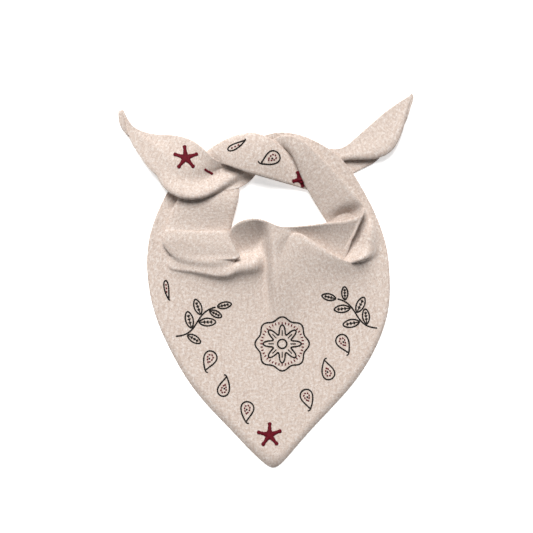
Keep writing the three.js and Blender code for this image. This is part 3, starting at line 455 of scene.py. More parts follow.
def cloth_grid():
    """The middle layer of the sheet: rows along it, columns from neck edge to hem."""
    knots = knots_of(sections)
    wanted = np.linspace(0, knots[-1], ROWS_ALONG)
    guides = spline_along(sections, knots, wanted)
    bows = [np.interp(wanted, knots, section_bows[:, k]) for k in range(len(BOWED_SPANS))]
    columns = []
    for span, steps in enumerate(STEPS_PER_SPAN):
        start, end = guides[:, span], guides[:, span + 1]
        length = np.hypot(*(end - start)[:, :2].T)
        for f in np.arange(0, 1, 1 / (steps * FINENESS)):
            column = start * (1 - f) + end * f
            if span in BOWED_SPANS:
                column[:, 2] += bows[BOWED_SPANS.index(span)] * length * 4 * f * (1 - f)
            columns.append(column)
    columns.append(guides[:, -1])
    grid = soften(np.stack(columns, axis=1), 1, SOFTENING_PASSES)
    grid = soften(grid, 0, LENGTHWISE_PASSES)
    section_at = np.interp(wanted, knots, np.arange(len(sections)))
    span_at = np.concatenate([
        span + np.arange(0, 1, 1 / (steps * FINENESS)) for span, steps in enumerate(STEPS_PER_SPAN)
    ] + [[len(STEPS_PER_SPAN)]])
    return press_forms(relax(grid, section_at, span_at), section_at, span_at)


sheet_grid = cloth_grid()
print("sheet grid:", sheet_grid.shape[0], "rows by", sheet_grid.shape[1], "columns")

# %% [markdown]
# ## The flat cut
# Knit has a direction: its columns of stitches run up and down the flat triangle, and turn with the
# cloth wherever it folds. So the middle layer is unwrapped with the least stretch, just as if the
# knot were untied and the cloth smoothed out on the table. The result is the cutter's pattern, and
# it comes out as the long, low triangle that such a neckerchief is cut to.

# %% Small helpers for grids and meshes
def unit(vectors):
    return vectors / np.maximum(np.linalg.norm(vectors, axis=-1, keepdims=True), 1e-12)


def mesh_object(name, points, faces):
    mesh = bpy.data.meshes.new(name)
    mesh.from_pydata(points.tolist(), [], faces)
    mesh.update()
    piece = bpy.data.objects.new(name, mesh)
    bpy.context.scene.collection.objects.link(piece)
    return piece


def grid_faces(rows, columns, start=0, flip=False):
    faces = []
    for i in range(rows - 1):
        for k in range(columns - 1):
            corner = start + i * columns + k
            face = (corner, corner + columns, corner + columns + 1, corner + 1)
            faces.append(face[::-1] if flip else face)
    return faces


def cell_area(points):
    """Area of each grid cell, for points in the plane or in space."""
    side_a = points[1:, :-1] - points[:-1, :-1]
    side_b = points[:-1, 1:] - points[:-1, :-1]
    if points.shape[2] == 2:
        return np.abs(side_a[..., 0] * side_b[..., 1] - side_a[..., 1] * side_b[..., 0])
    return np.linalg.norm(np.cross(side_a, side_b), axis=2)


# %% Unwrapping a grid
def flat_cut(grid):
    """Where each grid point lies on the flat cloth, in metres, with the neck edge along U."""
    rows, columns = grid.shape[:2]
    pattern = mesh_object("pattern", grid.reshape(-1, 3), grid_faces(rows, columns))
    pattern.data.uv_layers.new(name="flat")
    bpy.context.view_layer.objects.active = pattern
    pattern.select_set(True)
    bpy.ops.object.mode_set(mode="EDIT")
    bpy.ops.mesh.select_all(action="SELECT")
    bpy.ops.uv.unwrap(method="MINIMUM_STRETCH", margin=0)
    bpy.ops.object.mode_set(mode="OBJECT")
    loops = pattern.data.loops
    corners = np.zeros(len(loops) * 2)
    pattern.data.uv_layers["flat"].data.foreach_get("uv", corners)
    owner = np.zeros(len(loops), int)
    loops.foreach_get("vertex_index", owner)
    flat = np.zeros((rows * columns, 2))
    flat[owner] = corners.reshape(-1, 2)
    flat = flat.reshape(rows, columns, 2)
    bpy.data.objects.remove(pattern)
    flat *= math.sqrt(cell_area(grid).sum() / cell_area(flat).sum())
    along = unit(flat[-1, 0] - flat[0, 0])
    across = np.array([-along[1], along[0]])
    flat = np.stack([(flat - flat[0, 0]) @ along, (flat - flat[0, 0]) @ across], axis=2)
    if flat[..., 1].mean() > 0:
        flat[..., 1] *= -1
    return flat


# %% The flat cut, from a coarse copy of the middle layer
def refine(values, fineness):
    """Straight interpolation of a coarse grid of values onto the fine grid."""
    for axis in (0, 1):
        count = values.shape[axis]
        wanted = np.linspace(0, count - 1, (count - 1) * fineness + 1)
        low = np.minimum(wanted.astype(int), count - 2)
        share = wanted - low
        share = share.reshape(-1, 1, 1) if axis == 0 else share.reshape(1, -1, 1)
        values = values.take(low, axis) * (1 - share) + values.take(low + 1, axis) * share
    return values


sheet_flat = refine(flat_cut(sheet_grid[::FINENESS, ::FINENESS]), FINENESS)

# %% [markdown]
# ## One sheet with two sides and a soft rim
# The middle layer gets a skin on each side, and a rim with one more point in its middle, which makes
# the cut edge round. Both skins carry the flat pattern as their UV map.

# %% Skins, rim and UV map
RIM_BULGE = 0.4 * MM


def grid_normals(grid):
    along = np.gradient(grid, axis=0)
    across = np.gradient(grid, axis=1)
    return unit(np.cross(along, across))


def rim_indices(rows, columns):
    """The border of a grid, once round, in the order of its faces."""
    rim = [(i, 0) for i in range(rows - 1)]
    rim += [(rows - 1, k) for k in range(columns - 1)]
    rim += [(i, columns - 1) for i in range(rows - 1, 0, -1)]
    rim += [(0, k) for k in range(columns - 1, 0, -1)]
    return rim


def inward_neighbour(i, k, rows, columns):
    return min(max(i, 1), rows - 2), min(max(k, 1), columns - 2)


def give_uv(piece, flat):
    """Copies one flat place per vertex to the piece's UV map."""
    owner = np.zeros(len(piece.data.loops), int)
    piece.data.loops.foreach_get("vertex_index", owner)
    layer = piece.data.uv_layers.new(name="flat")
    layer.data.foreach_set("uv", flat[owner].ravel())


# %% The sheet
def make_sheet(grid, flat):
    """Both skins and the rim as one closed mesh, set down on the table; also gives back its points."""
    rows, columns = grid.shape[:2]
    half = CLOTH_THICKNESS / 2
    normals = grid_normals(grid)
    rim = rim_indices(rows, columns)
    bulge = []
    for i, k in rim:
        i_in, k_in = inward_neighbour(i, k, rows, columns)
        bulge.append(grid[i, k] + unit(grid[i, k] - grid[i_in, k_in]) * RIM_BULGE)
    points = np.concatenate([
        (grid + normals * half).reshape(-1, 3),
        (grid - normals * half).reshape(-1, 3),
        np.array(bulge),
    ])
    size = rows * columns
    faces = grid_faces(rows, columns) + grid_faces(rows, columns, start=size, flip=True)
    for n, (i, k) in enumerate(rim):
        i_next, k_next = rim[(n + 1) % len(rim)]
        here, there = i * columns + k, i_next * columns + k_next
        middle_here, middle_there = 2 * size + n, 2 * size + (n + 1) % len(rim)
        faces.append((here, middle_here, middle_there, there))
        faces.append((middle_here, size + here, size + there, middle_there))
    low, high = points.min(axis=0), points.max(axis=0)
    points -= [(low[0] + high[0]) / 2, (low[1] + high[1]) / 2, low[2]]
    piece = mesh_object("knit_sheet", points, faces)
    flat_points = flat.reshape(-1, 2)
    rim_flat = np.array([flat[i, k] for i, k in rim])
    give_uv(piece, np.concatenate([flat_points, flat_points, rim_flat]))
    piece.data.shade_smooth()
    return piece, points


sheet, sheet_points = make_sheet(sheet_grid, sheet_flat)
sheet_shift = sheet_points[0] - (sheet_grid + grid_normals(sheet_grid) * CLOTH_THICKNESS / 2)[0, 0]
print("sheet faces:", len(sheet.data.polygons), "shift:", sheet_shift.round(5))

# %% [markdown]
# ## Knit
# Seen close, a fine jersey is rows of small V shapes: each stitch shows two slanting legs. The knit
# group works the V out of the flat pattern with a few waves: one for the two legs side by side, one
# for the stitches along the column, shifted by the slant. Real loops would be tens of thousands of
# pieces for a relief of a tenth of a millimetre, so a bump does it here, and the shade in the gaps
# between the loops is painted into the colour as a darker brown. The yarn itself is a blend of pale
# and brownish fibres, so the colour wanders from stitch to stitch and over wider patches.

# %% Adding and joining nodes
def add(tree, kind, **settings):
    """Adds a node by its type name and sets its properties."""
    node = tree.nodes.new(kind)
    for name, value in settings.items():
        setattr(node, name, value)
    return node


def maths(tree, operation, first, second=None, clamp=False):
    """A Math node between two values or sockets; gives back its output."""
    node = add(tree, "ShaderNodeMath", operation=operation, use_clamp=clamp)
    for socket, value in zip(node.inputs, (first, second)):
        if value is None:
            continue
        if isinstance(value, (int, float)):
            socket.default_value = value
        else:
            tree.links.new(value, socket)
    return node.outputs[0]


# %% Making and placing node groups
def new_group(name, inputs, outputs):
    """A shader node group. Inputs and outputs are (name, socket type, default or None)."""
    group = bpy.data.node_groups.new(name, "ShaderNodeTree")
    for label, kind, default in inputs:
        socket = group.interface.new_socket(label, in_out="INPUT", socket_type=kind)
        if default is not None:
            socket.default_value = default
    for label, kind in outputs:
        group.interface.new_socket(label, in_out="OUTPUT", socket_type=kind)
    return group, add(group, "NodeGroupInput"), add(group, "NodeGroupOutput")


def use_group(tree, group, **values):
    node = add(tree, "ShaderNodeGroup", node_tree=group)
    for label, value in values.items():
        socket = node.inputs[label.replace("_", " ")]
        if isinstance(value, bpy.types.NodeSocket):
            tree.links.new(value, socket)
        else:
            socket.default_value = value
    return node


# %% Mixing colours, noise, ranges and bump
def mixed(tree, share, first, second):
    """Mixes two colours, which are sockets 6 and 7 of the node; each may be a socket or a value."""
    node = add(tree, "ShaderNodeMix", data_type="RGBA")
    for index, value in ((0, share), (6, first), (7, second)):
        if isinstance(value, bpy.types.NodeSocket):
            tree.links.new(value, node.inputs[index])
        else:
            node.inputs[index].default_value = value
    return node.outputs[2]


def noise(tree, vector, scale, detail=2, roughness=0.5):
    node = add(tree, "ShaderNodeTexNoise")
    tree.links.new(vector, node.inputs["Vector"])
    node.inputs["Scale"].default_value = scale
    node.inputs["Detail"].default_value = detail
    node.inputs["Roughness"].default_value = roughness
    return node.outputs["Fac"]


def ranged(tree, value, low, high, to_low=0.0, to_high=1.0):
    node = add(tree, "ShaderNodeMapRange")
    tree.links.new(value, node.inputs["Value"])
    for label, number in zip(("From Min", "From Max", "To Min", "To Max"), (low, high, to_low, to_high)):
        node.inputs[label].default_value = number
    return node.outputs["Result"]


def bump_from(tree, height, strength, distance, shader):
    """Turns a height into the shader's normal."""
    node = add(tree, "ShaderNodeBump")
    node.inputs["Strength"].default_value = strength
    node.inputs["Distance"].default_value = distance
    tree.links.new(height, node.inputs["Height"])
    tree.links.new(node.outputs["Normal"], shader.inputs["Normal"])


# %% The knit group: height of the V stitches, and the gaps between them that get painted shade
LOOP_ROUNDNESS = 0.6
LEG_ROUNDNESS = 0.7
GAP_SHADE_CONTRAST = 1.6


def knit_group():
    group, source, result = new_group(
        "knit_stitches",
        [
            ("Flat", "NodeSocketVector", None),
            ("Column width", "NodeSocketFloat", None),
            ("Row height", "NodeSocketFloat", None),
            ("Slant", "NodeSocketFloat", None),
        ],
        [("Height", "NodeSocketFloat"), ("Gap", "NodeSocketFloat")],
    )
    split = add(group, "ShaderNodeSeparateXYZ")
    group.links.new(source.outputs["Flat"], split.inputs[0])
    column = maths(group, "DIVIDE", split.outputs["X"], source.outputs["Column width"])
    row = maths(group, "DIVIDE", split.outputs["Y"], source.outputs["Row height"])
    place = maths(group, "SUBTRACT", maths(group, "FRACT", column), 0.5)
    from_middle = maths(group, "ABSOLUTE", place)
    slanted = maths(group, "ADD", row, maths(group, "MULTIPLY", from_middle, source.outputs["Slant"]))
    leg = maths(group, "SINE", maths(group, "MULTIPLY", from_middle, 2 * math.pi))
    leg_height = maths(group, "POWER", maths(group, "ABSOLUTE", leg), LEG_ROUNDNESS)
    stitch = maths(group, "ABSOLUTE", maths(group, "SINE", maths(group, "MULTIPLY", slanted, math.pi)))
    height = maths(group, "MULTIPLY", leg_height, maths(group, "POWER", stitch, LOOP_ROUNDNESS))
    # The gap is a mask for painted shade: 1 where the loops are low, between the legs and the rows
    covered = maths(group, "MULTIPLY", height, GAP_SHADE_CONTRAST, clamp=True)
    gap = maths(group, "SUBTRACT", 1.0, covered, clamp=True)
    group.links.new(height, result.inputs["Height"])
    group.links.new(gap, result.inputs["Gap"])
    return group


knit_stitches = knit_group()
print("knit group:", len(knit_stitches.nodes), "nodes")

# %% The blended yarn group: colour from fibre to fibre, patch to patch and along the columns
# Noise scales are per metre of flat cloth; a range is from low and high, and to what it is stretched
STREAK_SQUEEZE = 0.2
STREAKS = {"scale": 420, "detail": 2, "roughness": 0.6}
PATCHES = {"scale": 330, "detail": 3, "roughness": 0.7}
FLECKS = {"scale": 520, "detail": 3, "roughness": 0.75}
PALE_RANGE = (0.44, 0.62)
STREAK_RANGE = (0.5, 0.72, 0.0, 0.4)
FLECK_RANGE = (0.5, 0.68, 0.0, 0.75)


def blended_yarn_group():
    group, source, result = new_group(
        "blended_yarn",
        [
            ("Flat", "NodeSocketVector", None),
            ("Main", "NodeSocketColor", None),
            ("Pale fibre", "NodeSocketColor", None),
            ("Dark fibre", "NodeSocketColor", None),
        ],
        [("Color", "NodeSocketColor"), ("Fleck", "NodeSocketFloat")],
    )
    flat = source.outputs["Flat"]
    tall = add(group, "ShaderNodeVectorMath", operation="MULTIPLY")
    group.links.new(flat, tall.inputs[0])
    tall.inputs[1].default_value = (1, STREAK_SQUEEZE, 1)
    flecks = noise(group, flat, **FLECKS)
    pale_share = ranged(group, noise(group, flat, **PATCHES), *PALE_RANGE)
    streak_share = ranged(group, noise(group, tall.outputs[0], **STREAKS), *STREAK_RANGE)
    dark_share = ranged(group, flecks, *FLECK_RANGE)
    pale = mixed(group, pale_share, source.outputs["Main"], source.outputs["Pale fibre"])
    streaked = mixed(group, streak_share, pale, source.outputs["Dark fibre"])
    color = mixed(group, dark_share, streaked, source.outputs["Dark fibre"])
    group.links.new(color, result.inputs["Color"])
    group.links.new(flecks, result.inputs["Fleck"])
    return group


blended_yarn = blended_yarn_group()
print("yarn group:", len(blended_yarn.nodes), "nodes")

# %% The knit material
KNIT_COLUMN = 1.6 * MM
KNIT_ROW = 1.25 * MM
KNIT_SLANT = 0.9
KNIT_MAIN = (0.70, 0.59, 0.52, 1)
KNIT_PALE = (0.84, 0.775, 0.73, 1)
KNIT_DARK = (0.43, 0.32, 0.27, 1)
# Painted shade: the darker colour laid into the gaps between the loops
KNIT_GAP_SHADE = (0.36, 0.26, 0.205, 1)
GAP_SHADE_SHARE = 0.55
FLECK_RELIEF = 0.5
KNIT_BUMP = 0.55
KNIT_RELIEF = 0.45 * MM
KNIT_FINISH = {
    "Roughness": 0.95,
    "Specular IOR Level": 0.15,
    "Sheen Weight": 0.08,
    "Sheen Roughness": 0.6,
    "Sheen Tint": (1.0, 0.95, 0.9, 1),
}


def knit_material():
    material, tree, shader = new_material("oatmeal_knit", KNIT_FINISH)
    flat = add(tree, "ShaderNodeUVMap", uv_map="flat").outputs["UV"]
    stitches = use_group(
        tree, knit_stitches, Flat=flat, Column_width=KNIT_COLUMN, Row_height=KNIT_ROW, Slant=KNIT_SLANT
    )
    yarn = use_group(
        tree, blended_yarn, Flat=flat, Main=KNIT_MAIN, Pale_fibre=KNIT_PALE, Dark_fibre=KNIT_DARK
    )
    # Painted shade in the gaps between the loops, mixed into the yarn colour
    gap_shade_share = maths(tree, "MULTIPLY", stitches.outputs["Gap"], GAP_SHADE_SHARE)
    color = mixed(tree, gap_shade_share, yarn.outputs["Color"], KNIT_GAP_SHADE)
    tree.links.new(color, shader.inputs["Base Color"])
    fleck = maths(tree, "MULTIPLY", yarn.outputs["Fleck"], FLECK_RELIEF)
    height = maths(tree, "ADD", stitches.outputs["Height"], fleck)
    bump_from(tree, height, KNIT_BUMP, KNIT_RELIEF, shader)
    return material


sheet.data.materials.append(knit_material())
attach(sheet, "root")
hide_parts("knit_cloth")
print("the sheet rides on the root body in place of its solid")

# %% [markdown]
# ## Embroidery thread
# Every ornament is sewn with the same soft thread, so one stitch is modelled and copied. A stitch
# is a little bolster: thick in the middle, drawn in where the needle takes it through the cloth.
# The copies are laid on the cloth by dropping a ray on it from above.

# %% One stitch, modelled once
STITCH_SIDES = 8
STITCH_RINGS = 6
STITCH_FLATTEN = 0.8
STITCH_BLUNTNESS = 4


def model_stitch():
    """A bolster along X, one unit long, wide and high, as arrays of points, faces and UVs."""
    bpy.ops.object.select_all(action="DESELECT")
    bpy.ops.mesh.primitive_uv_sphere_add(
        segments=STITCH_SIDES, ring_count=STITCH_RINGS, radius=0.5, rotation=(0, math.pi / 2, 0)
    )
    stitch = bpy.context.object
    bpy.ops.object.transform_apply(location=True, rotation=True, scale=True)
    for vertex in stitch.data.vertices:
        x, y, z = vertex.co
        fullness = (1 - (2 * x) ** STITCH_BLUNTNESS) ** 0.5 if abs(x) < 0.5 else 0.0
        round_now = max(math.hypot(y, z), 1e-9)
        vertex.co = (x, y / round_now * fullness / 2, z / round_now * fullness / 2 * STITCH_FLATTEN)
    mesh = stitch.data
    points = np.array([vertex.co for vertex in mesh.vertices])
    faces = [tuple(polygon.vertices) for polygon in mesh.polygons]
    uv = [tuple(corner.uv) for corner in mesh.uv_layers[0].data]
    bpy.data.objects.remove(stitch)
    return points, faces, uv


stitch_points, stitch_faces, stitch_uv = model_stitch()
print("one stitch:", len(stitch_points), "points,", len(stitch_faces), "faces")

# %% Dropping a place onto the cloth
sheet_tree = BVHTree.FromPolygons(
    sheet_points.tolist(), [tuple(polygon.vertices) for polygon in sheet.data.polygons]
)
HIGH_ABOVE = 0.1
LINE_LIFT = 0.3


def on_cloth(x, y, ceiling=HIGH_ABOVE):
    """The place and the normal of the cloth under (x, y), below a ceiling."""
    hit, normal, _, _ = sheet_tree.ray_cast(Vector((x, y, ceiling)), Vector((0, 0, -1)))
    if hit is None:
        return np.array([x, y, 0.0]), np.array([0.0, 0.0, 1.0])
    return np.array(hit), np.array(normal) * (1 if normal.z > 0 else -1)


def stitch_between(start, end, width, height, ceiling=HIGH_ABOVE, lift=LINE_LIFT):
    """Middle and axes of a stitch laid on the cloth from one plan point to another."""
    a, normal_a = on_cloth(*start, ceiling)
    b, normal_b = on_cloth(*end, ceiling)
    normal = unit(normal_a + normal_b)
    along = b - a
    side = unit(np.cross(normal, along))
    up = unit(np.cross(along, side))
    middle = (a + b) / 2 + up * height * lift
    return middle, along, side * width, up * height


def sew(name, stitches, material, nodes=()):
    """One piece from copies of the stitch; each entry is (middle, along, side, up)."""
    count = len(stitch_points)
    points = np.concatenate([
        middle + stitch_points @ np.array([along, side, up]) for middle, along, side, up in stitches
    ])
    faces = [
        tuple(n * count + v for v in face) for n in range(len(stitches)) for face in stitch_faces
    ]
    piece = mesh_object(name, points, faces)
    layer = piece.data.uv_layers.new(name="thread")
    layer.data.foreach_set("uv", np.array(stitch_uv * len(stitches)).ravel())
    piece.data.shade_smooth()
    piece.data.materials.append(material)
    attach(piece, "root")
    if nodes:
        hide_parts(*nodes)


# %% [markdown]
# The thread has two plies that wind round each other and a silky shine, partly from the shader and
# partly painted. The ply group draws the twist along the stitch, for the bump and for the colour: the
# crowns of the plies get a painted highlight and the grooves between them painted shade. The two
# thread colours are the same material with other values.

# %% The ply group
PLY_ROUNDNESS = 0.6


def ply_group():
    group, source, result = new_group(
        "twisted_plies",
        [("Along", "NodeSocketVector", None), ("Turns", "NodeSocketFloat", None)],
        [("Height", "NodeSocketFloat")],
    )
    split = add(group, "ShaderNodeSeparateXYZ")
    group.links.new(source.outputs["Along"], split.inputs[0])
    lengthwise = maths(group, "MULTIPLY", split.outputs["Y"], source.outputs["Turns"])
    phase = maths(group, "ADD", maths(group, "MULTIPLY", split.outputs["X"], 2.0), lengthwise)
    wave = maths(group, "ABSOLUTE", maths(group, "SINE", maths(group, "MULTIPLY", phase, math.pi)))
    group.links.new(maths(group, "POWER", wave, PLY_ROUNDNESS), result.inputs["Height"])
    return group


twisted_plies = ply_group()
print("ply group:", len(twisted_plies.nodes), "nodes")

# %% Thread materials
PLY_TURNS = 3.0
WEAR_SCALE = 900
WEAR_RANGE = (0.35, 0.65, 0.5, 1.0)
PLY_BUMP = 0.6
PLY_RELIEF = 0.2 * MM
# A shaded and a lit copy of each thread colour: painted shade in the ply grooves, painted highlight on
# the crowns
RED_SHADED, RED_LIT = (0.06, 0.0008, 0.005, 1), (0.17, 0.003, 0.014, 1)
BLACK_SHADED, BLACK_LIT = (0.004, 0.003, 0.003, 1), (0.016, 0.012, 0.01, 1)
RED_ROUGHNESS = 0.65
BLACK_ROUGHNESS = 0.7
THREAD_FINISH = {"Specular IOR Level": 0.18, "Sheen Weight": 0.03}


def thread_material(name, dark, light, roughness):
    material, tree, shader = new_material(name, {**THREAD_FINISH, "Roughness": roughness})
    along = add(tree, "ShaderNodeUVMap", uv_map="thread").outputs["UV"]
    plies = use_group(tree, twisted_plies, Along=along, Turns=PLY_TURNS)
    place = add(tree, "ShaderNodeTexCoord").outputs["Object"]
    wear = ranged(tree, noise(tree, place, WEAR_SCALE), *WEAR_RANGE)
    # Painted highlight and shade: the lit colour on the crowns of the plies, the shaded one in the
    # grooves, varied at random by the wear noise
    ply_shading_and_wear = maths(tree, "MULTIPLY", plies.outputs["Height"], wear)
    tree.links.new(mixed(tree, ply_shading_and_wear, dark, light), shader.inputs["Base Color"])
    bump_from(tree, plies.outputs["Height"], PLY_BUMP, PLY_RELIEF, shader)
    return material


red_thread = thread_material("red_thread", RED_SHADED, RED_LIT, RED_ROUGHNESS)
black_thread = thread_material("black_thread", BLACK_SHADED, BLACK_LIT, BLACK_ROUGHNESS)
print("thread materials:", red_thread.name, "and", black_thread.name)

# %% [markdown]
# ## Lines of stitches
# A drawn line is back-stitched: each stitch starts where the last one ended. A round bar bent along
# the line would be quicker, but it looks like wire. So the line is first cut into equal steps, then
# each step becomes one stitch, a little thicker or thinner than the last.

# %% Cutting a path into stitches
LINE_WIDTH = 1.85 * MM
LINE_HEIGHT = 0.95 * MM
LINE_STITCH = 2.3 * MM
STITCH_OVERLAP = 1.25
STITCH_WANDER = (0.88, 1.08)


def equal_steps(path, step, closed=False):
    """Points at equal distances along a path in the plane."""
    path = np.array(path)
    if closed:
        path = np.concatenate([path, path[:1]])
    reach = np.concatenate([[0], np.cumsum(np.linalg.norm(np.diff(path, axis=0), axis=1))])
    count = max(1, round(reach[-1] / step))
    wanted = np.linspace(0, reach[-1], count + 1)
    return np.stack([np.interp(wanted, reach, path[:, axis]) for axis in (0, 1)], axis=1)


def line_of_stitches(path, rng, closed=False, width=LINE_WIDTH):
    points = equal_steps(path, LINE_STITCH, closed)
    stitches = []
    for start, end in zip(points[:-1], points[1:]):
        middle = (start + end) / 2
        reach = (end - start) / 2 * STITCH_OVERLAP
        wide = width * rng.uniform(*STITCH_WANDER)
        stitches.append(stitch_between(middle - reach, middle + reach, wide, LINE_HEIGHT))
    return stitches


# %% Placing things in the plan
def turned(x, y, angle, origin=(0.0, 0.0)):
    c, s = math.cos(angle), math.sin(angle)
    return np.array([x * c - y * s + origin[0], x * s + y * c + origin[1]])


def short_stitch(middle, angle, length, width):
    half = turned(length / 2, 0, angle)
    return stitch_between(middle - half, middle + half, width, LINE_HEIGHT)


def heading(start, end):
    return math.atan2(*(end - start)[::-1])


def plan_point(x_percent, y_percent):
    """A place of the tables' plan, in metres."""
    return np.array([
        x_percent / 100 * LYING_WIDTH + sheet_shift[0],
        (y_percent / 100 - 0.5) * LYING_LENGTH + sheet_shift[1],
    ])


# %% [markdown]
# ## Paisleys
# A paisley is a drop whose tip curls aside and ends in a flick of thread. Inside it, a broken oval of
# short red stitches goes round one dark knot. The drop is one formula instead of a list of points, so
# a table can turn, narrow and bend each copy to its place.

# %% The outline of a paisley
PAISLEY_LENGTH = 22 * MM
PAISLEY_WIDTH = 15 * MM
PAISLEY_FULLNESS = 1.3
PAISLEY_TAPER = 1.2
PAISLEY_BEND = 0.3
OUTLINE_POINTS = 48

# Name, x, y, turn, width and the side the tip bends to, as in the solid model
PAISLEYS = [
    ("paisley_left_side", -33.8, 47.3, -84, 0.35, 1),
    ("paisley_left_high", -19.7, 28.6, -128, 1, 1),
    ("paisley_left_low", -13.9, 21.5, 62, 0.9, 1),
    ("paisley_left_tip", -6.9, 14.9, -112, 1, 1),
    ("paisley_right_high", 26.6, 33.1, -46, 0.95, -1),
    ("paisley_right_middle", 20.4, 25.9, 123, 0.95, -1),
    ("paisley_right_low", 14.3, 18.3, -58, 0.95, -1),
    ("paisley_knot_left", -9.8, 85.6, 24, 0.42, 1),
    ("paisley_knot_right", 1.5, 81.9, 223, 1, -1),
]


def outline_round(centre, length, angle, side_at):
    """A closed outline along an axis; side_at gives its distance from the axis."""
    path = []
    for turn in np.linspace(0, 2 * math.pi, OUTLINE_POINTS, endpoint=False):
        along = -math.cos(turn) * length / 2
        path.append(turned(along, side_at(turn, along / length + 0.5), angle, centre))
    return path


def paisley_outline(centre, width, angle, bend, share=1.0):
    def side_at(turn, towards_tip):
        narrowing = PAISLEY_FULLNESS * abs(math.cos(turn / 2)) ** PAISLEY_TAPER
        side = math.sin(turn) * narrowing * width / 2 + bend * PAISLEY_BEND * width * towards_tip**3
        return side * share

    return outline_round(centre, PAISLEY_LENGTH * share, angle, side_at)


# %% Its red filling
FILLING_SHARE = 0.44
FILLING_WIDTH = 1.7 * MM
FILLING_STITCH = 2.3 * MM
FILLING_DOTS = 8
NARROW = 0.6
NARROW_SPOTS = (-0.8, 0, 0.8)


def cut_length(path):
    return float(np.linalg.norm(np.diff(path, axis=0), axis=1).sum())


def filling_stitches(middle, wide, angle, bend):
    """Short stitches with gaps: an oval of them, or three in a row where the paisley is narrow."""
    if wide < NARROW:
        reach = PAISLEY_LENGTH * FILLING_SHARE / 2
        spots = [turned(along * reach, 0, angle, middle) for along in NARROW_SPOTS]
        return [short_stitch(spot, angle, FILLING_STITCH, FILLING_WIDTH) for spot in spots]
    oval = equal_steps(
        paisley_outline(middle, PAISLEY_WIDTH * wide, angle, bend, FILLING_SHARE),
        FILLING_STITCH, closed=True,
    )
    dots = equal_steps(oval, cut_length(oval) / FILLING_DOTS)
    return [
        short_stitch(spot, heading(spot, after), FILLING_STITCH, FILLING_WIDTH)
        for spot, after in zip(dots[:-1], dots[1:])
    ]


# %% Sewing the paisleys
# The flick's points are shares of the length along and of the width aside, from the middle
FLICK = [(0.42, 0.16), (0.5, 0.3), (0.53, 0.42), (0.5, 0.54)]
FLICK_WIDTH = LINE_WIDTH * 0.9
HEART_SHIFT = -0.1
HEART_REACH = 2.2 * MM
HEART_LEANS = (0, math.pi / 3, -math.pi / 3)

for name, x, y, turn, wide, bend in PAISLEYS:
    rng = np.random.default_rng(len(name))
    centre = plan_point(x, y)
    angle = math.radians(turn)
    outline = paisley_outline(centre, PAISLEY_WIDTH * wide, angle, bend)
    stitches = line_of_stitches(outline, rng, closed=True)
    flick = [
        turned(along * PAISLEY_LENGTH, bend * aside * PAISLEY_WIDTH * wide, angle, centre)
        for along, aside in FLICK
    ]
    stitches += line_of_stitches(flick, rng, width=FLICK_WIDTH)
    middle = centre + turned(PAISLEY_LENGTH * HEART_SHIFT, 0, angle)
    if wide > NARROW:
        for lean in HEART_LEANS:
            stitches.append(short_stitch(middle, angle + lean, HEART_REACH, FILLING_WIDTH))
    sew(name, stitches, black_thread, [name])
    filling = filling_stitches(middle, wide, angle, bend)
    sew(f"{name}_filling", filling, red_thread)
print(len(PAISLEYS), "paisleys")

# %% [markdown]
# ## Stars
# A star is satin stitch: many strands laid side by side straight across each arm, so that the arm
# rounds up like a cushion. The strands are long in the middle of the star, short along each slim arm
# and a little longer again in the bead that ends it. A smooth star with stripes on it would have too
# clean an edge, so every strand is a stitch of its own, and no two are quite alike.

# %% The strands of one arm
STAR_RADIUS = 14 * MM
ARM_WIDTH = 3.5 * MM
ARM_FLARE = 6 * MM
ARM_BEAD = 1.2 * MM
FLARE_FADE = 2.6
BEAD_AT = 0.88
BEAD_REACH = 0.1
TIP_END = 1.03
TIP_STEEPNESS = 14
STRAND_WIDTH = 0.62 * MM
STRAND_STEP = 0.8 * STRAND_WIDTH
STRAND_BODY = 1.5 * STRAND_WIDTH
STRAND_WANDER = (0.9, 1.06)
STRAND_LEAN = 0.12
STAR_HEIGHT = 1.5 * MM
SATIN_LIFT = 0.2


def strand_between(start, end, ceiling=HIGH_ABOVE):
    return stitch_between(start, end, STRAND_BODY, STAR_HEIGHT, ceiling, SATIN_LIFT)


def arm_strands(centre, angle, radius, ceiling, rng):
    """Strands straight across one arm, from the middle of the star to its blunt tip."""
    strands = []
    steps = int(radius / STRAND_STEP)
    for n in range(steps):
        out = (n + 0.5) / steps * radius
        share = out / radius
        bead = math.exp(-(((share - BEAD_AT) / BEAD_REACH) ** 2))
        width = ARM_WIDTH + ARM_FLARE * (1 - share) ** FLARE_FADE + ARM_BEAD * bead
        width *= min(1, (TIP_END - share) * TIP_STEEPNESS)
        half = width / 2 * rng.uniform(*STRAND_WANDER)
        lean = rng.uniform(-STRAND_LEAN, STRAND_LEAN)
        start = centre + turned(out - lean * half, -half, angle)
        end = centre + turned(out + lean * half, half, angle)
        strands.append(strand_between(start, end, ceiling))
    return strands


# %% Sewing the stars
ARM_WANDER = 5
BAND_CEILING = 0.46 * FOLD_HEIGHT

# Name, x, y, turn, size, arms, degrees between arms, and the ceiling under which it is sewn
STARS = [
    ("star_on_left_tail", -27.1, 82.5, 93, 1, 5, 72, HIGH_ABOVE),
    ("star_at_bottom_tip", 1.1, 8.6, 90, 1, 5, 72, HIGH_ABOVE),
    ("star_by_right_band", 11.5, 76.9, 112, 0.66, 3, 88, BAND_CEILING),
]

for name, x, y, turn, size, arms, spread, ceiling in STARS:
    rng = np.random.default_rng(len(name))
    centre = plan_point(x, y)
    strands = []
    for arm in range(arms):
        angle = math.radians(turn + arm * spread + rng.uniform(-ARM_WANDER, ARM_WANDER))
        strands += arm_strands(centre, angle, STAR_RADIUS * size, ceiling, rng)
    sew(name, strands, red_thread, [name])
    print(name, len(strands), "strands")

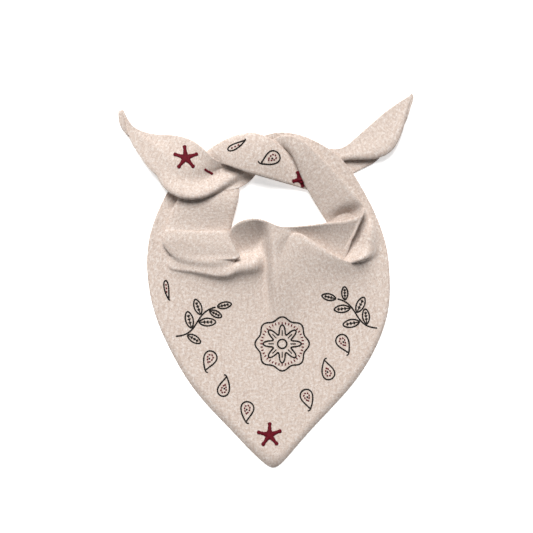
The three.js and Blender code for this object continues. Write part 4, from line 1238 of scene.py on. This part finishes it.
# %% [markdown]
# One more star disappears into the fold of the left end. Only the tips of two arms look out, so only
# they are sewn.

# %% Two arm tips that look out of the fold
TIPS = [((-20.7, 79.5), (-19.6, 78.9)), ((-19.4, 78.9), (-18.2, 78.3))]
TIP_WIDTH = 3 * MM
TIP_WANDER = (0.75, 1.05)

rng = np.random.default_rng(len(TIPS))
strands = []
for start, end in TIPS:
    start, end = plan_point(*start), plan_point(*end)
    count = int(np.linalg.norm(end - start) / STRAND_STEP)
    for f in np.linspace(0, 1, count):
        spot = start * (1 - f) + end * f
        across = turned(0, TIP_WIDTH / 2 * rng.uniform(*TIP_WANDER), heading(start, end))
        strands.append(strand_between(spot - across, spot + across))
sew("star_tips_in_fold", strands, red_thread)
print("star tips in the fold:", len(strands), "strands")

# %% [markdown]
# ## Medallion
# The middle of the bib carries a round ornament of the kind that bandanas have always had: a
# scalloped rim, a ring of petals and a small ring as its heart. Short red stitches stand like a fringe
# inside the scallops, and each petal has a short vein. A circle whose radius swells with a cosine
# gives even lobes with no point placed by hand, so the same few lines draw the rim and the petals.

# %% Medallion
MEDALLION_RADIUS = 30 * MM
MEDALLION_X, MEDALLION_Y = 5.4, 33
LOBES = 8
LOBED_POINTS = 160
PETAL_VEIN = (0.3, 0.5)
PETAL_VEIN_WIDTH = 1.3 * MM

# Name, share of the radius, and swell of the lobes as a share of that
MEDALLION_LINES = [
    ("medallion_rim", 0.93, 0.07),
    ("medallion_petals", 0.52, 0.36),
    ("medallion_heart", 0.17, 0),
]


def lobed_outline(centre, radius, swell):
    return [
        turned(radius * (1 + swell * math.cos(LOBES * angle)), 0, angle, centre)
        for angle in np.linspace(0, 2 * math.pi, LOBED_POINTS, endpoint=False)
    ]


def on_spoke(n, count, share):
    """The angle of one of some even spokes of the medallion, and a place on it."""
    angle = 2 * math.pi * n / count
    return angle, turned(MEDALLION_RADIUS * share, 0, angle, medallion_centre)


medallion_centre = plan_point(MEDALLION_X, MEDALLION_Y)
for name, share, swell in MEDALLION_LINES:
    rng = np.random.default_rng(len(name))
    outline = lobed_outline(medallion_centre, MEDALLION_RADIUS * share, swell)
    stitches = line_of_stitches(outline, rng, closed=True)
    if name == "medallion_petals":
        for n in range(LOBES):
            ends = [on_spoke(n, LOBES, share)[1] for share in PETAL_VEIN]
            stitches += line_of_stitches(ends, rng, width=PETAL_VEIN_WIDTH)
    sew(name, stitches, black_thread, [name])
    print(name, len(stitches), "stitches")

# %% Its red fringe
FRINGE_COUNT = 40
FRINGE_SHARE = 0.76
FRINGE_REACH = 3 * MM
FRINGE_WIDTH = 1.3 * MM

fringe = []
for n in range(FRINGE_COUNT):
    angle, spot = on_spoke(n, FRINGE_COUNT, FRINGE_SHARE)
    fringe.append(short_stitch(spot, angle, FRINGE_REACH, FRINGE_WIDTH))
sew("medallion_fringe", fringe, red_thread)
print("fringe:", len(fringe), "stitches")

# %% [markdown]
# ## Leafy sprays
# Each side of the bib has a curved stem with six leaves, and each leaf has a midrib with side veins.
# The stem is one curve with four guide points, and each leaf sits at its share of the stem's length,
# so a moved guide point takes the leaves along.

# %% Stems and leaves
SPRAY_REACH = 64 * MM
LEAF_LENGTH = 19 * MM
LEAF_WIDTH = 8.5 * MM
LEAF_TAPER = 1.5
LEAF_SPREAD = 1
STEM_CLEARANCE = 1.9 * MM
STEM_POINTS = 201

# Guide points as shares of the reach, name with foot and lean, and leaves with their share of the
# stem, side and size
STEM_GUIDES = [(0, 0), (0.42, 0.02), (0.3, 0.42), (0.68, 0.5)]
SPRAYS = [("spray_left", -30.6, 35, 1), ("spray_right", 37.6, 37.2, -1)]
LEAVES = [(0.2, -1, 0.9), (0.34, 1, 1), (0.52, -1, 1), (0.66, 1, 0.95), (0.84, -1, 0.8), (1, 0, 0.85)]


def bezier(points, f):
    a, b, c, d = points
    return a * (1 - f) ** 3 + 3 * b * f * (1 - f) ** 2 + 3 * c * f**2 * (1 - f) + d * f**3


def leaf_outline(centre, length, width, angle):
    """A slim outline with two pointed ends."""
    def side_at(turn, _):
        side = math.sin(turn)
        return math.copysign(abs(side) ** LEAF_TAPER, side) * width / 2

    return outline_round(centre, length, angle, side_at)


# %% The veins of a leaf
VEIN_WIDTH = 1.3 * MM
VEIN_REACH = 2.6 * MM
VEIN_LEAN = 0.75
VEIN_SPOTS = (-0.24, -0.04, 0.16)
MIDRIB = (-0.5, 0.3)


def vein_stitches(centre, length, size, angle, rng):
    midrib = [turned(share * length, 0, angle, centre) for share in MIDRIB]
    stitches = line_of_stitches(midrib, rng, width=VEIN_WIDTH)
    for share in VEIN_SPOTS:
        start = turned(share * length, 0, angle, centre)
        for side in (-1, 1):
            tip = turned(VEIN_REACH * size, 0, angle + side * VEIN_LEAN)
            stitches.append(stitch_between(start, start + tip, VEIN_WIDTH, LINE_HEIGHT))
    return stitches


# %% Sewing the sprays
for name, x, y, lean in SPRAYS:
    rng = np.random.default_rng(len(name))
    foot = plan_point(x, y)
    guides = [foot + np.array([lean * out, up]) * SPRAY_REACH for out, up in STEM_GUIDES]
    stem = np.array([bezier(guides, f) for f in np.linspace(0, 1, STEM_POINTS)])
    reach = np.concatenate([[0], np.cumsum(np.linalg.norm(np.diff(stem, axis=0), axis=1))])
    sew(f"{name}_stem", line_of_stitches(stem, rng), black_thread, [f"{name}_stem"])
    for n, (at, side, size) in enumerate(LEAVES, start=1):
        spot = min(int(np.searchsorted(reach, at * reach[-1])), len(stem) - 1)
        before, after = stem[max(spot - 1, 0)], stem[min(spot + 1, len(stem) - 1)]
        angle = heading(before, after) + side * LEAF_SPREAD
        length = LEAF_LENGTH * size
        centre = turned(length / 2 + STEM_CLEARANCE, 0, angle, stem[spot])
        path = leaf_outline(centre, length, LEAF_WIDTH * size, angle)
        stitches = line_of_stitches(path, rng, closed=True)
        stitches += vein_stitches(centre, length, size, angle, rng)
        leaf = f"{name}_leaf_{n}"
        sew(leaf, stitches, black_thread, [leaf])
    print(name, "with", len(LEAVES), "leaves")
